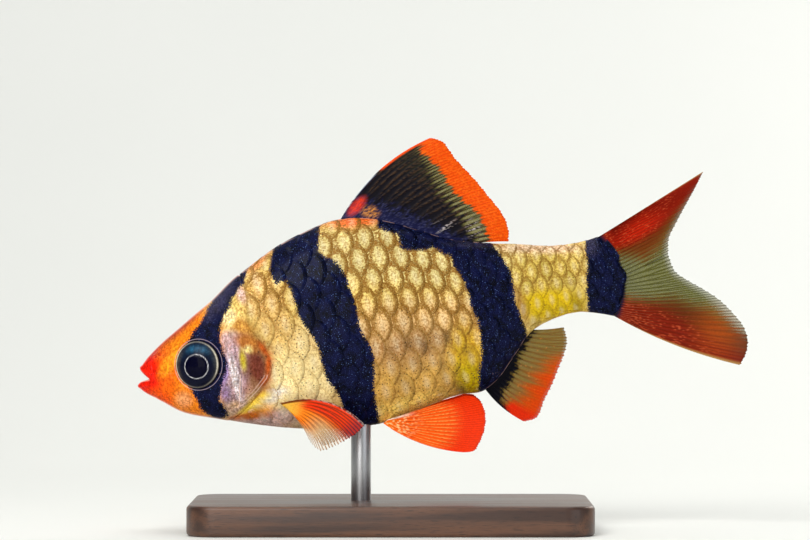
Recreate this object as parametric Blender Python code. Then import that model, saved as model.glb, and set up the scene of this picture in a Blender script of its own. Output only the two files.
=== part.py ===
"""Tiger barb, life size, as a still display model that swims head down a little on a plain stand.

Sizes are millimetres and make_node() turns them into metres. The fish lies along X, snout at -X, with its
left side towards -Y, and Z counts from the underside of the stand. Outlines are places on the fish's middle
plane, written (x, z). The body is lofted along its own axis, which rises to the tail by BODY_PITCH.
"""
import math

import bmesh
import bpy
import numpy as np

MM = 0.001
GAP = 0.3  # clear space between neighbouring pieces

# The body's own axis runs from the tip of the lower lip, rising towards the tail.
BODY_PITCH = math.radians(11.5)
LIP_TIP = (-30.25, 14.5)
LIP_START = 0.06  # the first ring, just behind the tip
BACK_LINE = (
    (-30.1, 16.0), (-29.6, 16.9), (-29.1, 17.5), (-27.7, 18.9), (-26.3, 20.1), (-24.8, 21.4),
    (-22.9, 23.0), (-20.8, 25.1), (-18.9, 26.6), (-16.6, 28.3), (-13.8, 29.8), (-10.3, 31.1),
    (-8.1, 31.3), (-5.6, 31.0), (-2.6, 30.2), (0.7, 29.2), (3.9, 28.8), (7.5, 28.65),
    (11.4, 28.5), (13.9, 28.85), (16.4, 29.6),
)
BELLY_LINE = (
    (-30.0, 14.1), (-29.5, 13.7), (-28.2, 13.05), (-25.8, 11.8), (-22.2, 11.1), (-19.1, 10.6),
    (-13.8, 10.1), (-9.1, 10.2), (-5.6, 10.7), (-2.1, 12.0), (1.9, 13.5), (4.3, 13.9), (5.6, 14.9),
    (7.6, 17.7), (8.9, 19.6), (11.4, 21.1), (13.9, 21.75), (15.5, 21.65), (17.6, 21.3),
)
# Half the body's thickness, against the distance along the axis from the lip.
HALF_WIDTHS = (
    (0.0, 0.0), (0.3, 0.85), (1.0, 1.45), (2.5, 2.1), (5.0, 2.85), (8.0, 3.5), (11.0, 3.95), (15.0, 4.2),
    (20.0, 4.25), (26.0, 3.95), (32.0, 3.2), (37.0, 2.35), (42.0, 1.65), (46.0, 1.2), (50.5, 0.6),
)
WIDEST_SHARE = 0.47  # height of the widest level, as a share of the depth
SECTION_POWER = 0.93  # under 1 makes the flanks flatter than an ellipse

# A slow bend of the tail away from the left side.
BEND_START = 32.0
BEND_AT_TAIL = 0.7
TAIL_BASE = 48.4  # end of the scaled stalk, at its upper and lower edges
TAIL_ARC = 1.6  # how far the middle of the stalk reaches past that
STALK_START = 39.3

# Rear edge of the gill cover, from the nape to the throat, and the cover's front edge.
GILL_LINE = (
    (-20.3, 25.6), (-19.5, 23.0), (-19.1, 20.1), (-17.9, 18.7), (-17.1, 17.3), (-16.85, 16.2),
    (-17.1, 15.2), (-18.1, 13.7), (-19.4, 12.2), (-20.5, 11.3), (-21.3, 10.85),
)
COVER_REAR = GILL_LINE[2:10]
COVER_FRONT = ((-19.7, 20.0), (-20.1, 18.5), (-20.3, 16.8), (-20.5, 15.0), (-20.9, 13.3), (-21.4, 11.9))
COVER_PROUD = 0.2
COVER_THICK = 0.75

# Eye: an oblate ball turned a little forwards in its socket.
EYE_CENTRE = (-24.25, 16.6)
EYE_RADIUS = 2.35
EYE_HALF_LENGTH = 2.15
EYE_HALF_THICK = 1.25
EYE_PROUD = 0.45
EYE_TURN = math.radians(14.0)
RIM_HEIGHT = 0.15

# Mouth: the gape is a wedge, and the jaw parts from the head along a line to the chin.
MOUTH_CORNER = (-29.25, 15.0)
GAPE_TOP = (-29.9, 15.55)
GAPE_BOTTOM = (-30.0, 14.78)
CHIN_END = (-27.3, 12.3)
LIP_SWELL = 0.13
LIP_WIDTH = 0.35
NOSTRILS = ((-28.45, 17.35, 0.26), (-27.95, 17.55, 0.32))  # x, z and radius of each opening

# Fins. A root and an edge run from the leading ray to the last one.
RAY_SHARE = 0.2  # half a ray's width, as a share of the distance to the next ray
MEMBRANE_SHARE = 0.62  # membrane thickness over ray thickness
DORSAL_ROOT = (22.9, 32.6)  # distances along the axis
DORSAL_EDGE = (
    (-1.0, 39.25), (0.0, 39.0), (1.5, 37.2), (3.8, 34.7), (5.0, 33.2), (5.9, 32.1), (6.55, 31.0),
    (6.85, 29.9), (6.5, 29.15),
)
ANAL_ROOT = (33.9, 38.7)
ANAL_EDGE = (
    (8.4, 10.8), (9.5, 11.1), (10.5, 13.1), (11.2, 14.5), (11.8, 16.0), (12.4, 17.5), (12.6, 19.1),
)
TAIL_FORK = (22.8, 27.6)
UPPER_LOBE = ((26.1, 35.65), (25.15, 33.8), (24.25, 32.35), (23.35, 30.6), (22.85, 29.3), TAIL_FORK)
LOWER_LOBE = (
    TAIL_FORK, (23.6, 25.9), (25.0, 24.9), (26.4, 24.1), (27.9, 23.1), (29.3, 21.7), (30.35, 20.3),
    (30.7, 19.1), (30.55, 17.8), (29.9, 16.5),
)
PECTORAL_ROOT = ((-14.4, 13.1), (-14.3, 11.2))
PECTORAL_EDGE = (
    (-7.4, 10.7), (-7.9, 10.0), (-9.3, 9.2), (-10.4, 8.45), (-11.5, 8.15), (-12.5, 8.6), (-13.3, 9.7),
)
PECTORAL_SPREAD = (1.9, 0.6)  # how far its tips stand out sideways, and its last ray more than that
PELVIC_ROOT = ((-5.3, 10.4), (-4.9, 11.3))
PELVIC_EDGE = (
    (2.3, 8.15), (3.2, 8.2), (3.75, 9.0), (4.2, 10.2), (4.35, 11.5), (4.1, 12.6), (3.3, 13.3), (2.6, 13.45),
)
PELVIC_SPREAD = (2.6, -0.7)
ROOT_THICK = 0.9  # thickness of a ray at its root, and of a solid fin's edge
EDGE_THICK = 0.42

# Stand: a plain block with a rod up into the belly.
BASE_SIZE = (40.0, 24.0, 3.0)
BASE_CENTRE_X = -5.0
BASE_CORNER = 3.0
BASE_BEVEL = 0.4
ROD_X = -8.0
ROD_RADIUS = 1.0
ROD_SINK = 1.3  # how deep the rod stands in the belly and in the block

RING_POINTS = 40
HEAD_RINGS = 28
TORSO_RINGS = 22
STALK_RINGS = 8


def smooth(points):
    """A curve through (place, value) pairs, with no corners, as a function of the place."""
    place, value = np.array(points, float).T
    step = np.diff(place)
    rise = np.diff(value) / step
    slope = np.empty_like(value)
    slope[1:-1] = (rise[:-1] * step[1:] + rise[1:] * step[:-1]) / (step[:-1] + step[1:])
    slope[0], slope[-1] = rise[0], rise[-1]

    def at(where):
        where = np.clip(where, place[0], place[-1])
        i = np.clip(np.searchsorted(place, where) - 1, 0, len(step) - 1)
        u = (where - place[i]) / step[i]
        start = value[i] * (1 + 2 * u) * (1 - u) ** 2 + slope[i] * step[i] * u * (1 - u) ** 2
        end = value[i + 1] * u * u * (3 - 2 * u) + slope[i + 1] * step[i] * u * u * (u - 1)
        return start + end

    return at


def smooth_line(points):
    """A smooth line through (x, z) places, as a function of its share from 0 to 1."""
    points = np.array(points, float)
    run = np.concatenate([[0], np.cumsum(np.linalg.norm(np.diff(points, axis=0), axis=1))])
    run /= run[-1]
    x_at, z_at = smooth(list(zip(run, points[:, 0]))), smooth(list(zip(run, points[:, 1])))
    return lambda share: np.stack([x_at(share), z_at(share)], axis=-1)


def to_axis(x, z):
    """(distance along the body's axis, height over it) of a place on the middle plane."""
    dx, dz = x - LIP_TIP[0], z - LIP_TIP[1]
    cos, sin = math.cos(BODY_PITCH), math.sin(BODY_PITCH)
    return dx * cos + dz * sin, dz * cos - dx * sin


def to_level(s, h):
    cos, sin = math.cos(BODY_PITCH), math.sin(BODY_PITCH)
    return LIP_TIP[0] + s * cos - h * sin, LIP_TIP[1] + s * sin + h * cos


def over_root(pairs):
    """A curve over the square root of the distance, so that the snout comes out round."""
    return smooth([(math.sqrt(s), value) for s, value in pairs])


back_height = over_root([(0.0, 0.0)] + [to_axis(*p) for p in BACK_LINE])
belly_height = over_root([(0.0, 0.0)] + [to_axis(*p) for p in BELLY_LINE])
half_width = over_root(HALF_WIDTHS)


def bend_at(s):
    """Sideways place of the middle plane. Behind the stalk it runs on straight."""
    past = np.maximum(s - BEND_START, 0) / (TAIL_BASE - BEND_START)
    return BEND_AT_TAIL * np.where(past < 1, past**2, 2 * past - 1)


def section(s):
    """(height of the widest level, height above it, depth below it) at a distance along the axis."""
    root = np.sqrt(np.maximum(s, 0))
    top, bottom = back_height(root), belly_height(root)
    widest = bottom + WIDEST_SHARE * (top - bottom)
    return widest, top - widest, widest - bottom


def body_point(s, angle):
    """A place on the body. The angle is 0 on the back, half a turn on the belly and grows to the left."""
    widest, up, down = section(s)
    cos, sin = np.cos(angle), np.sin(angle)
    h = widest + np.where(cos > 0, up, down) * cos
    side = half_width(np.sqrt(np.maximum(s, 0))) * np.sign(sin) * np.abs(sin) ** SECTION_POWER
    x, z = to_level(s, h)
    return np.stack([x, bend_at(s) - side, z], axis=-1)


def body_normal(s, angle):
    """The outward direction at a place on the body."""
    ds, da = 0.02, 0.01
    s = np.maximum(s, 2 * ds)
    along = body_point(s + ds, angle) - body_point(s - ds, angle)
    around = body_point(s, angle + da) - body_point(s, angle - da)
    normal = np.cross(around, along)
    return normal / np.linalg.norm(normal, axis=-1, keepdims=True)


def angle_of(x, z):
    """(distance along the axis, angle round the left side) of a place seen from the side."""
    s, h = to_axis(x, z)
    widest, up, down = section(s)
    share = (h - widest) / np.where(h > widest, up, down)
    return s, np.arccos(np.clip(share, -1, 1))


def side_at(x, z):
    """Half the body's thickness at a place seen from the side."""
    s, angle = angle_of(x, z)
    return half_width(np.sqrt(s)) * np.sin(angle) ** SECTION_POWER


def gill_edge():
    """The distance of the gill opening from the lip, as a function of the angle."""
    pairs = [(float(angle_of(*p)[1]), float(angle_of(*p)[0])) for p in GILL_LINE]
    pairs[0] = (0.0, pairs[0][1])
    pairs[-1] = (math.pi, pairs[-1][1])
    return smooth(pairs)


gill_at = gill_edge()


def fold(angle):
    """The same angle on the left side, for curves that are alike on both sides."""
    return np.arccos(np.clip(np.cos(angle), -1, 1))


def line_distance(x, z, line):
    """Distance in the side view from a place to a line of points."""
    nearest = np.full(np.shape(x), 1e9)
    for (ax, az), (bx, bz) in zip(line[:-1], line[1:]):
        share = ((x - ax) * (bx - ax) + (z - az) * (bz - az)) / ((bx - ax) ** 2 + (bz - az) ** 2)
        share = np.clip(share, 0, 1)
        gap = np.hypot(x - ax - share * (bx - ax), z - az - share * (bz - az))
        nearest = np.minimum(nearest, gap)
    return nearest


def head_relief(point):
    """How far lips and the rim of the eye stand out from the plain form."""
    x, z = point[..., 0], point[..., 2]
    mouth = ((LIP_TIP[0], LIP_TIP[1] + 0.6), MOUTH_CORNER)
    from_mouth = line_distance(x, z, mouth)
    lips = LIP_SWELL * np.exp(-(((from_mouth - LIP_WIDTH) / LIP_WIDTH) ** 2))
    furrow = LIP_SWELL * np.exp(-(((from_mouth - 3 * LIP_WIDTH) / LIP_WIDTH) ** 2))
    from_eye = np.hypot(x - EYE_CENTRE[0], z - EYE_CENTRE[1])
    rim = RIM_HEIGHT * np.exp(-(((from_eye - EYE_RADIUS - GAP) / 0.4) ** 2))
    return lips - furrow + rim


def make_node(name, points, faces, colour, roughness=0.5, metallic=0.0):
    """A named closed object from places in millimetres."""
    mesh = bpy.data.meshes.new(name)
    mesh.from_pydata([tuple(p) for p in np.asarray(points, float) * MM], [], [tuple(f) for f in faces])
    work = bmesh.new()
    work.from_mesh(mesh)
    bmesh.ops.remove_doubles(work, verts=work.verts, dist=1e-7)
    bmesh.ops.dissolve_degenerate(work, edges=work.edges, dist=1e-7)
    bmesh.ops.recalc_face_normals(work, faces=work.faces)
    bmesh.ops.triangulate(work, faces=work.faces)
    work.to_mesh(mesh)
    work.free()
    finish(mesh, name, colour, roughness, metallic)
    node = bpy.data.objects.new(name, mesh)
    bpy.context.scene.collection.objects.link(node)
    return node


def finish(mesh, name, colour, roughness, metallic):
    """The piece's own material, and round shading."""
    material = bpy.data.materials.new(name)
    material.use_nodes = True
    shader = material.node_tree.nodes["Principled BSDF"]
    shader.inputs["Base Color"].default_value = (*colour, 1.0)
    shader.inputs["Roughness"].default_value = roughness
    shader.inputs["Metallic"].default_value = metallic
    mesh.materials.append(material)
    mesh.shade_smooth()
    mesh.set_sharp_from_angle(angle=math.radians(40))


def apply_boolean(node, other, operation):
    """Joins or cuts a node with another object, which is then removed."""
    modifier = node.modifiers.new(operation, "BOOLEAN")
    modifier.operation = operation
    modifier.object = other
    bpy.context.view_layer.objects.active = node
    bpy.ops.object.modifier_apply(modifier=modifier.name)
    bpy.data.objects.remove(other)


def keep_largest(node):
    """Drops any scrap that a cut has left beside the main body."""
    work = bmesh.new()
    work.from_mesh(node.data)
    left = set(work.verts)
    groups = []
    while left:
        group, todo = set(), [left.pop()]
        while todo:
            vert = todo.pop()
            group.add(vert)
            for edge in vert.link_edges:
                other = edge.other_vert(vert)
                if other in left:
                    left.discard(other)
                    todo.append(other)
        groups.append(group)
    groups.sort(key=len, reverse=True)
    bmesh.ops.delete(work, geom=[v for group in groups[1:] for v in group], context="VERTS")
    work.to_mesh(node.data)
    work.free()


def loft(name, stations, relief=None, colour=(0.8, 0.7, 0.5)):
    """A length of the body. stations(i) gives the distances of one ring for all its angles."""
    angles = np.arange(RING_POINTS) * 2 * math.pi / RING_POINTS
    rings = [stations(angles, i) for i in range(stations.count)]
    points = []
    for s in rings:
        ring = body_point(s, angles)
        if relief:
            ring = ring + body_normal(s, angles) * relief(ring)[:, None]
        points.append(ring)
    n, half = RING_POINTS, RING_POINTS // 2
    faces = [
        (i * n + k, i * n + (k + 1) % n, (i + 1) * n + (k + 1) % n, (i + 1) * n + k)
        for i in range(len(rings) - 1) for k in range(n)
    ]
    for base in (0, (len(rings) - 1) * n):
        faces += [(base + k, base + k + 1, base + (n - k - 1) % n, base + (n - k) % n) for k in range(half)]
    faces = [tuple(dict.fromkeys(face)) for face in faces]
    return make_node(name, np.concatenate(points), faces, colour, roughness=0.35)


class Stations:
    """Rings from one edge of a body length to the other. An edge is a function of the angle."""

    def __init__(self, count, start, end, power=1.0):
        self.count, self.start, self.end, self.power = count, start, end, power

    def __call__(self, angles, i):
        share = (i / (self.count - 1)) ** self.power
        first, last = self.start(fold(angles)), self.end(fold(angles))
        return first + share * (last - first)


def ellipsoid(name, centre, radii, turn, segments=20, rings=12):
    """A ball with its own radius along each of its axes, turned about the vertical."""
    angles = np.arange(segments) * 2 * math.pi / segments
    points, faces = [(0.0, -1.0, 0.0)], []
    for j in range(1, rings):
        tilt = math.pi * j / rings
        for a in angles:
            points.append((math.sin(tilt) * math.cos(a), -math.cos(tilt), math.sin(tilt) * math.sin(a)))
    points.append((0.0, 1.0, 0.0))
    for k in range(segments):
        after = (k + 1) % segments
        faces.append((0, 1 + k, 1 + after))
        for j in range(rings - 2):
            low, high = 1 + j * segments, 1 + (j + 1) * segments
            faces.append((low + k, high + k, high + after, low + after))
        last = 1 + (rings - 2) * segments
        faces.append((len(points) - 1, last + after, last + k))
    ball = np.array(points) * radii
    cos, sin = math.cos(turn), math.sin(turn)
    spun = np.stack([ball[:, 0] * cos - ball[:, 1] * sin, ball[:, 0] * sin + ball[:, 1] * cos, ball[:, 2]], 1)
    return make_node(name, spun + centre, faces, (0.03, 0.03, 0.06), roughness=0.08)


def eye_place(side):
    """Centre of an eyeball. side is -1 on the left and 1 on the right."""
    x, z = EYE_CENTRE
    depth = float(side_at(x, z)) + EYE_PROUD - EYE_HALF_THICK
    return np.array([x, side * depth, z])


def prism(name, outline, half_depth):
    """An outline in the side view, drawn out evenly to both sides."""
    n = len(outline)
    points = [(x, -half_depth, z) for x, z in outline] + [(x, half_depth, z) for x, z in outline]
    faces = [tuple(range(n)), tuple(range(2 * n - 1, n - 1, -1))]
    faces += [(k, k + n, (k + 1) % n + n, (k + 1) % n) for k in range(n)]
    return make_node(name, points, faces, (0.8, 0.2, 0.1))


def cover_patch(name, side, outer, inner, grow):
    """A plate on the gill cover's place, between two depths, its outline grown by a margin."""
    front, rear = smooth_line(COVER_FRONT), smooth_line(COVER_REAR)
    down, across = 14, 9
    shares = np.linspace(0, 1, down)
    a, b = front(shares), rear(shares)
    b[:, 0] -= GAP / 2
    reach = np.linspace(-grow, 1 + 3 * grow, across)[:, None, None]
    seen = a[None] + (b - a)[None] * reach
    middle_z = (a[:, 1].max() + a[:, 1].min()) / 2
    seen[..., 1] = middle_z + (seen[..., 1] - middle_z) * (1 + grow * 0.35)
    s, angle = angle_of(seen[..., 0], seen[..., 1])
    angle = np.where(side < 0, angle, -angle)
    base, normal = body_point(s, angle), body_normal(s, angle)
    rise = np.clip(np.linspace(0, 1, across), 0, 1)[:, None, None]
    top = base + normal * (outer * (0.35 + 0.65 * rise))
    bottom = base - normal * inner
    return sheet(name, top, bottom, (0.75, 0.6, 0.3), 0.3)


def sheet(name, first, second, colour, roughness):
    """A thin closed body between two grids of places, split into triangles alike on both faces."""
    rows, columns = first.shape[:2]
    count = rows * columns

    def index(i, j, face):
        return face * count + i * columns + j

    faces = []
    for i in range(rows - 1):
        for j in range(columns - 1):
            a, b, c, d = (i, j), (i + 1, j), (i + 1, j + 1), (i, j + 1)
            for p, q, r in ((a, b, c), (a, c, d)):
                faces.append((index(*p, 0), index(*q, 0), index(*r, 0)))
                faces.append((index(*r, 1), index(*q, 1), index(*p, 1)))
    border = [(i, 0) for i in range(rows)] + [(rows - 1, j) for j in range(1, columns)]
    border += [(i, columns - 1) for i in range(rows - 2, -1, -1)] + [(0, j) for j in range(columns - 2, 0, -1)]
    for p, q in zip(border, border[1:] + border[:1]):
        faces.append((index(*q, 0), index(*p, 0), index(*p, 1)))
        faces.append((index(*q, 0), index(*p, 1), index(*q, 1)))
    points = np.concatenate([first.reshape(-1, 3), second.reshape(-1, 3)])
    return make_node(name, points, faces, colour, roughness)


def ray_columns(rays):
    """(places across the fin from 0 to 1, whether each is the crest of a ray)."""
    spacing = 1 / (rays - 1)
    places, crests = [], []
    for i in range(rays):
        for step in (-RAY_SHARE, 0.0, RAY_SHARE):
            place = (i + step) * spacing
            if -1e-9 <= place <= 1 + 1e-9:
                places.append(min(max(place, 0.0), 1.0))
                crests.append(step == 0.0)
    return np.array(places), np.array(crests)


def fin(name, root, edge, rays, rows, bow, sway, colour):
    """A fin with raised rays. root and edge map the share across to (x, z), bow is how far the first and
    the last ray curve out from straight, and sway(x, z, across, along) is the sideways place of the fin's
    middle."""
    across, crests = ray_columns(rays)
    along = np.linspace(0, 1, rows)
    start, end = root(across), edge(across)
    chord = end - start
    length = np.linalg.norm(chord, axis=1, keepdims=True)
    outward = np.stack([-chord[:, 1], chord[:, 0]], axis=1) / length
    reach = np.where(crests, 1.0, 1.0 - 0.2 / length[:, 0])
    v = along[None, :] * reach[:, None]
    curve = (bow[0] + (bow[1] - bow[0]) * across)[:, None] * 4 * v * (1 - v)
    seen = start[:, None] + chord[:, None] * v[..., None] + outward[:, None] * curve[..., None]
    thick = ROOT_THICK + (EDGE_THICK - ROOT_THICK) * v
    half = thick / 2 * np.where(crests, 1.0, MEMBRANE_SHARE)[:, None]
    middle = sway(seen[..., 0], seen[..., 1], across[:, None], v)
    near = np.stack([seen[..., 0], middle - half, seen[..., 1]], axis=-1)
    far = np.stack([seen[..., 0], middle + half, seen[..., 1]], axis=-1)
    return sheet(name, near, far, colour, 0.4)


def ridge_root(first, last, angle):
    """The root of a fin on the back or the belly, clear of the body by the gap."""
    def at(share):
        s = first + (last - first) * share
        angles = np.full_like(s, angle)
        place = body_point(s, angles) + body_normal(s, angles) * GAP
        return place[:, [0, 2]]

    return at


def tail_root(upper):
    """The root of a tail lobe along the stalk's round end."""
    def at(share):
        angle = np.pi / 2 * share if upper else np.pi / 2 * (1 + share)
        parting = GAP / 2 * np.where(upper, share, 1 - share) / 3.0
        angle = angle - parting if upper else angle + parting
        s = TAIL_BASE + TAIL_ARC * np.sin(angle) ** 2 + GAP
        widest, up, down = section(np.full_like(s, TAIL_BASE))
        h = widest + np.where(np.cos(angle) > 0, up, down) * np.cos(angle) * 0.97
        return np.stack(to_level(s, h), axis=-1)

    return at


def parted(line, upper):
    """A tail lobe's edge, held off the other lobe at the fork."""
    at = smooth_line(line)
    shift = GAP / 2

    def moved(share):
        place = at(share)
        near_fork = share if upper else 1 - share
        place[:, 1] += (shift if upper else -shift) * near_fork
        return place

    return moved


def middle_sway(x, z, across, along):
    s, _ = to_axis(x, z)
    return bend_at(s)


def tail_sway(x, z, across, along):
    """The tail fin leans away with the bend, and its upper lobe more than its lower one."""
    s, h = to_axis(x, z)
    widest, _, _ = section(np.full_like(s, TAIL_BASE))
    past = np.maximum(s - TAIL_BASE - TAIL_ARC, 0)
    return bend_at(s) + 0.028 * past * (h - widest) * np.clip(past / 3, 0, 1)


def paired_sway(side, root, spread):
    """A paired fin lies beside the body at its root and spreads outwards to its tips."""
    near_root = max(float(side_at(*place)) for place in root) + GAP + ROOT_THICK / 2

    def at(x, z, across, along):
        return side * (near_root + (spread[0] + spread[1] * across) * along)

    return at


def build_head():
    """Head with lips, nostrils and sockets. The jaw and the gill covers are cut from the same form."""
    def head_form(name, colour):
        stations = Stations(HEAD_RINGS, lambda a: np.full_like(a, LIP_START), lambda a: gill_at(a) - GAP / 2, 2.0)
        return loft(name, stations, relief=head_relief, colour=colour)

    head = head_form("head", (0.9, 0.35, 0.1))
    jaw = head_form("lower_jaw", (0.9, 0.2, 0.05))
    far_x, low_z = LIP_TIP[0] - 2, 9.0
    step = np.array(CHIN_END) - np.array(MOUTH_CORNER)
    off = np.array([step[1], -step[0]]) / np.linalg.norm(step) * GAP
    head_cut = [(far_x, GAPE_TOP[1] + 0.5), GAPE_TOP, MOUTH_CORNER, CHIN_END, (CHIN_END[0], low_z), (far_x, low_z)]
    jaw_corner = tuple(np.array(MOUTH_CORNER) + off)
    jaw_back = tuple(np.array(CHIN_END) + off)
    jaw_keep = [(far_x, GAPE_BOTTOM[1]), GAPE_BOTTOM, jaw_corner, jaw_back, (jaw_back[0], low_z), (far_x, low_z)]
    apply_boolean(head, prism("head_cutter", head_cut, 8.0), "DIFFERENCE")
    apply_boolean(jaw, prism("jaw_keeper", jaw_keep, 8.0), "INTERSECT")
    eye_radii = np.array([EYE_HALF_LENGTH, EYE_HALF_THICK, EYE_RADIUS])
    for side, word in ((-1, "left"), (1, "right")):
        turn = -side * EYE_TURN
        ellipsoid("eye_" + word, eye_place(side), eye_radii, turn)
        apply_boolean(head, ellipsoid("socket", eye_place(side), eye_radii + GAP, turn), "DIFFERENCE")
        for x, z, radius in NOSTRILS:
            place = np.array([x, side * (float(side_at(x, z)) + 0.1), z])
            pit = ellipsoid("pit", place, np.full(3, radius) * (1, 1.6, 1), 0.0, segments=8, rings=6)
            apply_boolean(head, pit, "DIFFERENCE")
        cover_patch("gill_cover_" + word, side, COVER_PROUD, COVER_THICK - COVER_PROUD, 0.0)
        recess = cover_patch("recess", side, 2.0, COVER_THICK - COVER_PROUD + GAP, 0.14)
        apply_boolean(head, recess, "DIFFERENCE")
    for node in (head, jaw):
        keep_largest(node)


def build_trunk():
    """Torso and tail stalk, parted by a thin gap, with a socket in the belly for the rod."""
    torso = loft("torso", Stations(TORSO_RINGS, lambda a: gill_at(a) + GAP / 2,
                                   lambda a: np.full_like(a, STALK_START - GAP / 2)))
    belly = body_point(np.array(to_axis(ROD_X, 10.3)[0]), np.array(math.pi))
    top = belly[2] + ROD_SINK + GAP
    apply_boolean(torso, cylinder("socket", (ROD_X, 0.0), 5.0, top, ROD_RADIUS + GAP), "DIFFERENCE")
    keep_largest(torso)
    loft("tail_stalk", Stations(STALK_RINGS, lambda a: np.full_like(a, STALK_START + GAP / 2),
                                lambda a: TAIL_BASE + TAIL_ARC * np.sin(a) ** 2))
    return top - GAP


def cylinder(name, centre, low, high, radius, sides=24, colour=(0.6, 0.6, 0.62), metallic=0.0):
    angles = np.arange(sides) * 2 * math.pi / sides
    ring = [(centre[0] + radius * math.cos(a), centre[1] + radius * math.sin(a)) for a in angles]
    points = [(x, y, low) for x, y in ring] + [(x, y, high) for x, y in ring]
    faces = [tuple(range(sides)), tuple(range(2 * sides - 1, sides - 1, -1))]
    faces += [(k, k + sides, (k + 1) % sides + sides, (k + 1) % sides) for k in range(sides)]
    return make_node(name, points, faces, colour, 0.3, metallic)


def build_fins():
    dark, red, bright = (0.05, 0.04, 0.06), (0.7, 0.1, 0.03), (0.9, 0.18, 0.03)
    back, belly = ridge_root(*DORSAL_ROOT, 0.0), ridge_root(*ANAL_ROOT, math.pi)
    fin("dorsal_fin", back, smooth_line(DORSAL_EDGE), 11, 11, (1.1, 0.1), middle_sway, dark)
    fin("anal_fin", belly, smooth_line(ANAL_EDGE), 9, 8, (-0.35, -0.1), middle_sway, red)
    fin("caudal_fin_upper", tail_root(True), parted(UPPER_LOBE, True), 10, 10, (0.0, 0.0), tail_sway, red)
    fin("caudal_fin_lower", tail_root(False), parted(LOWER_LOBE, False), 10, 10, (0.0, -0.5), tail_sway, red)
    for side, word in ((-1, "left"), (1, "right")):
        pectoral = paired_sway(side, PECTORAL_ROOT, PECTORAL_SPREAD)
        fin("pectoral_fin_" + word, smooth_line(PECTORAL_ROOT), smooth_line(PECTORAL_EDGE), 11, 8,
            (0.85, 0.0), pectoral, bright)
        pelvic = paired_sway(side, PELVIC_ROOT, PELVIC_SPREAD)
        fin("pelvic_fin_" + word, smooth_line(PELVIC_ROOT), smooth_line(PELVIC_EDGE), 9, 8,
            (-0.35, 0.3), pelvic, bright)


def build_stand(rod_top):
    """A block with rounded corners and eased edges, with a socket for the rod."""
    length, depth, height = BASE_SIZE
    per_corner = 6
    outline = []
    for quarter, (sx, sy) in enumerate(((1, 1), (-1, 1), (-1, -1), (1, -1))):
        for k in range(per_corner + 1):
            a = (quarter + k / per_corner) * math.pi / 2
            outline.append((sx * (length / 2 - BASE_CORNER), sy * (depth / 2 - BASE_CORNER), a))

    def ring(z, inset):
        radius = BASE_CORNER - inset
        return [(BASE_CENTRE_X + x + radius * math.cos(a), y + radius * math.sin(a), z) for x, y, a in outline]

    levels = ((0.0, BASE_BEVEL), (BASE_BEVEL, 0.0), (height - BASE_BEVEL, 0.0), (height, BASE_BEVEL))
    points = [p for z, inset in levels for p in ring(z, inset)]
    n = len(outline)
    faces = [tuple(range(n)), tuple(range(4 * n - 1, 3 * n - 1, -1))]
    for level in range(3):
        faces += [
            (level * n + k, (level + 1) * n + k, (level + 1) * n + (k + 1) % n, level * n + (k + 1) % n)
            for k in range(n)
        ]
    base = make_node("stand_base", points, faces, (0.7, 0.55, 0.38), 0.5)
    socket = cylinder("socket", (ROD_X, 0.0), height - ROD_SINK - GAP, height + 1, ROD_RADIUS + GAP)
    apply_boolean(base, socket, "DIFFERENCE")
    cylinder("stand_rod", (ROD_X, 0.0), height - ROD_SINK, rod_top, ROD_RADIUS, metallic=1.0)


def main():
    for thing in list(bpy.data.objects):
        bpy.data.objects.remove(thing)
    build_head()
    rod_top = build_trunk()
    build_fins()
    build_stand(rod_top)


main()
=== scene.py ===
# %% [markdown]
# A tiger barb, life size, on a plain stand.
# The solids of the fish are loaded first and stay where they are. Everything below is dressed around them:
# one skin for head, trunk and tail, a coat of scales over it, two eyes, seven fins and the stand. The fish
# points to -X, its left side is towards -Y, and the stand's underside is at height 0. Sizes are written in
# millimetres and turned into Blender's metres when a mesh is made.

# %% Load the solids
import math
import random

import bmesh
import bpy
import numpy as np
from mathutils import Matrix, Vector


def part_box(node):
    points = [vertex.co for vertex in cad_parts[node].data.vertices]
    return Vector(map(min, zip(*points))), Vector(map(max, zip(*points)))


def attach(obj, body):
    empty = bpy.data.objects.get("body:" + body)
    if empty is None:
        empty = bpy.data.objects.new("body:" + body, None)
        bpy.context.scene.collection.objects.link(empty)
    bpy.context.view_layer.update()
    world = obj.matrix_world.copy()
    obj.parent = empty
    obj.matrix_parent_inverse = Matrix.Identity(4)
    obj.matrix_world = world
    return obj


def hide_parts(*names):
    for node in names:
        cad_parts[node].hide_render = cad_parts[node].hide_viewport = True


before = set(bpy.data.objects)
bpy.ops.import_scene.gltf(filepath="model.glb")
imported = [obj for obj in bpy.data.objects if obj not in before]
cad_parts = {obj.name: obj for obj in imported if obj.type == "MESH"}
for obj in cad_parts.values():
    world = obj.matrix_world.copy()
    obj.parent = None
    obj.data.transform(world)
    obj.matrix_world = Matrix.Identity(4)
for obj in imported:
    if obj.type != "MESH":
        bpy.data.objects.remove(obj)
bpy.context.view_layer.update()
MM = 0.001

# %% [markdown]
# The camera comes before the fish, so that every later look is taken from the right place. The picture is a
# side view, so the lens is long and the camera stands square to the fish, level with the middle of the
# picture. At the fish's own middle plane the picture is 81 mm wide.

# %% Camera
PICTURE_WIDTH = 81.0
PICTURE_MIDDLE = (-3.6, 26.0)
CAMERA_AWAY = 420.0

bpy.ops.object.camera_add(location=(PICTURE_MIDDLE[0] * MM, -CAMERA_AWAY * MM, PICTURE_MIDDLE[1] * MM),
                          rotation=(math.pi / 2, 0, 0))
camera = bpy.context.object
camera.data.lens = camera.data.sensor_width * CAMERA_AWAY / PICTURE_WIDTH
camera.data.clip_start = 0.01
bpy.context.scene.camera = camera
print("lens", round(camera.data.lens), "mm")

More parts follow.
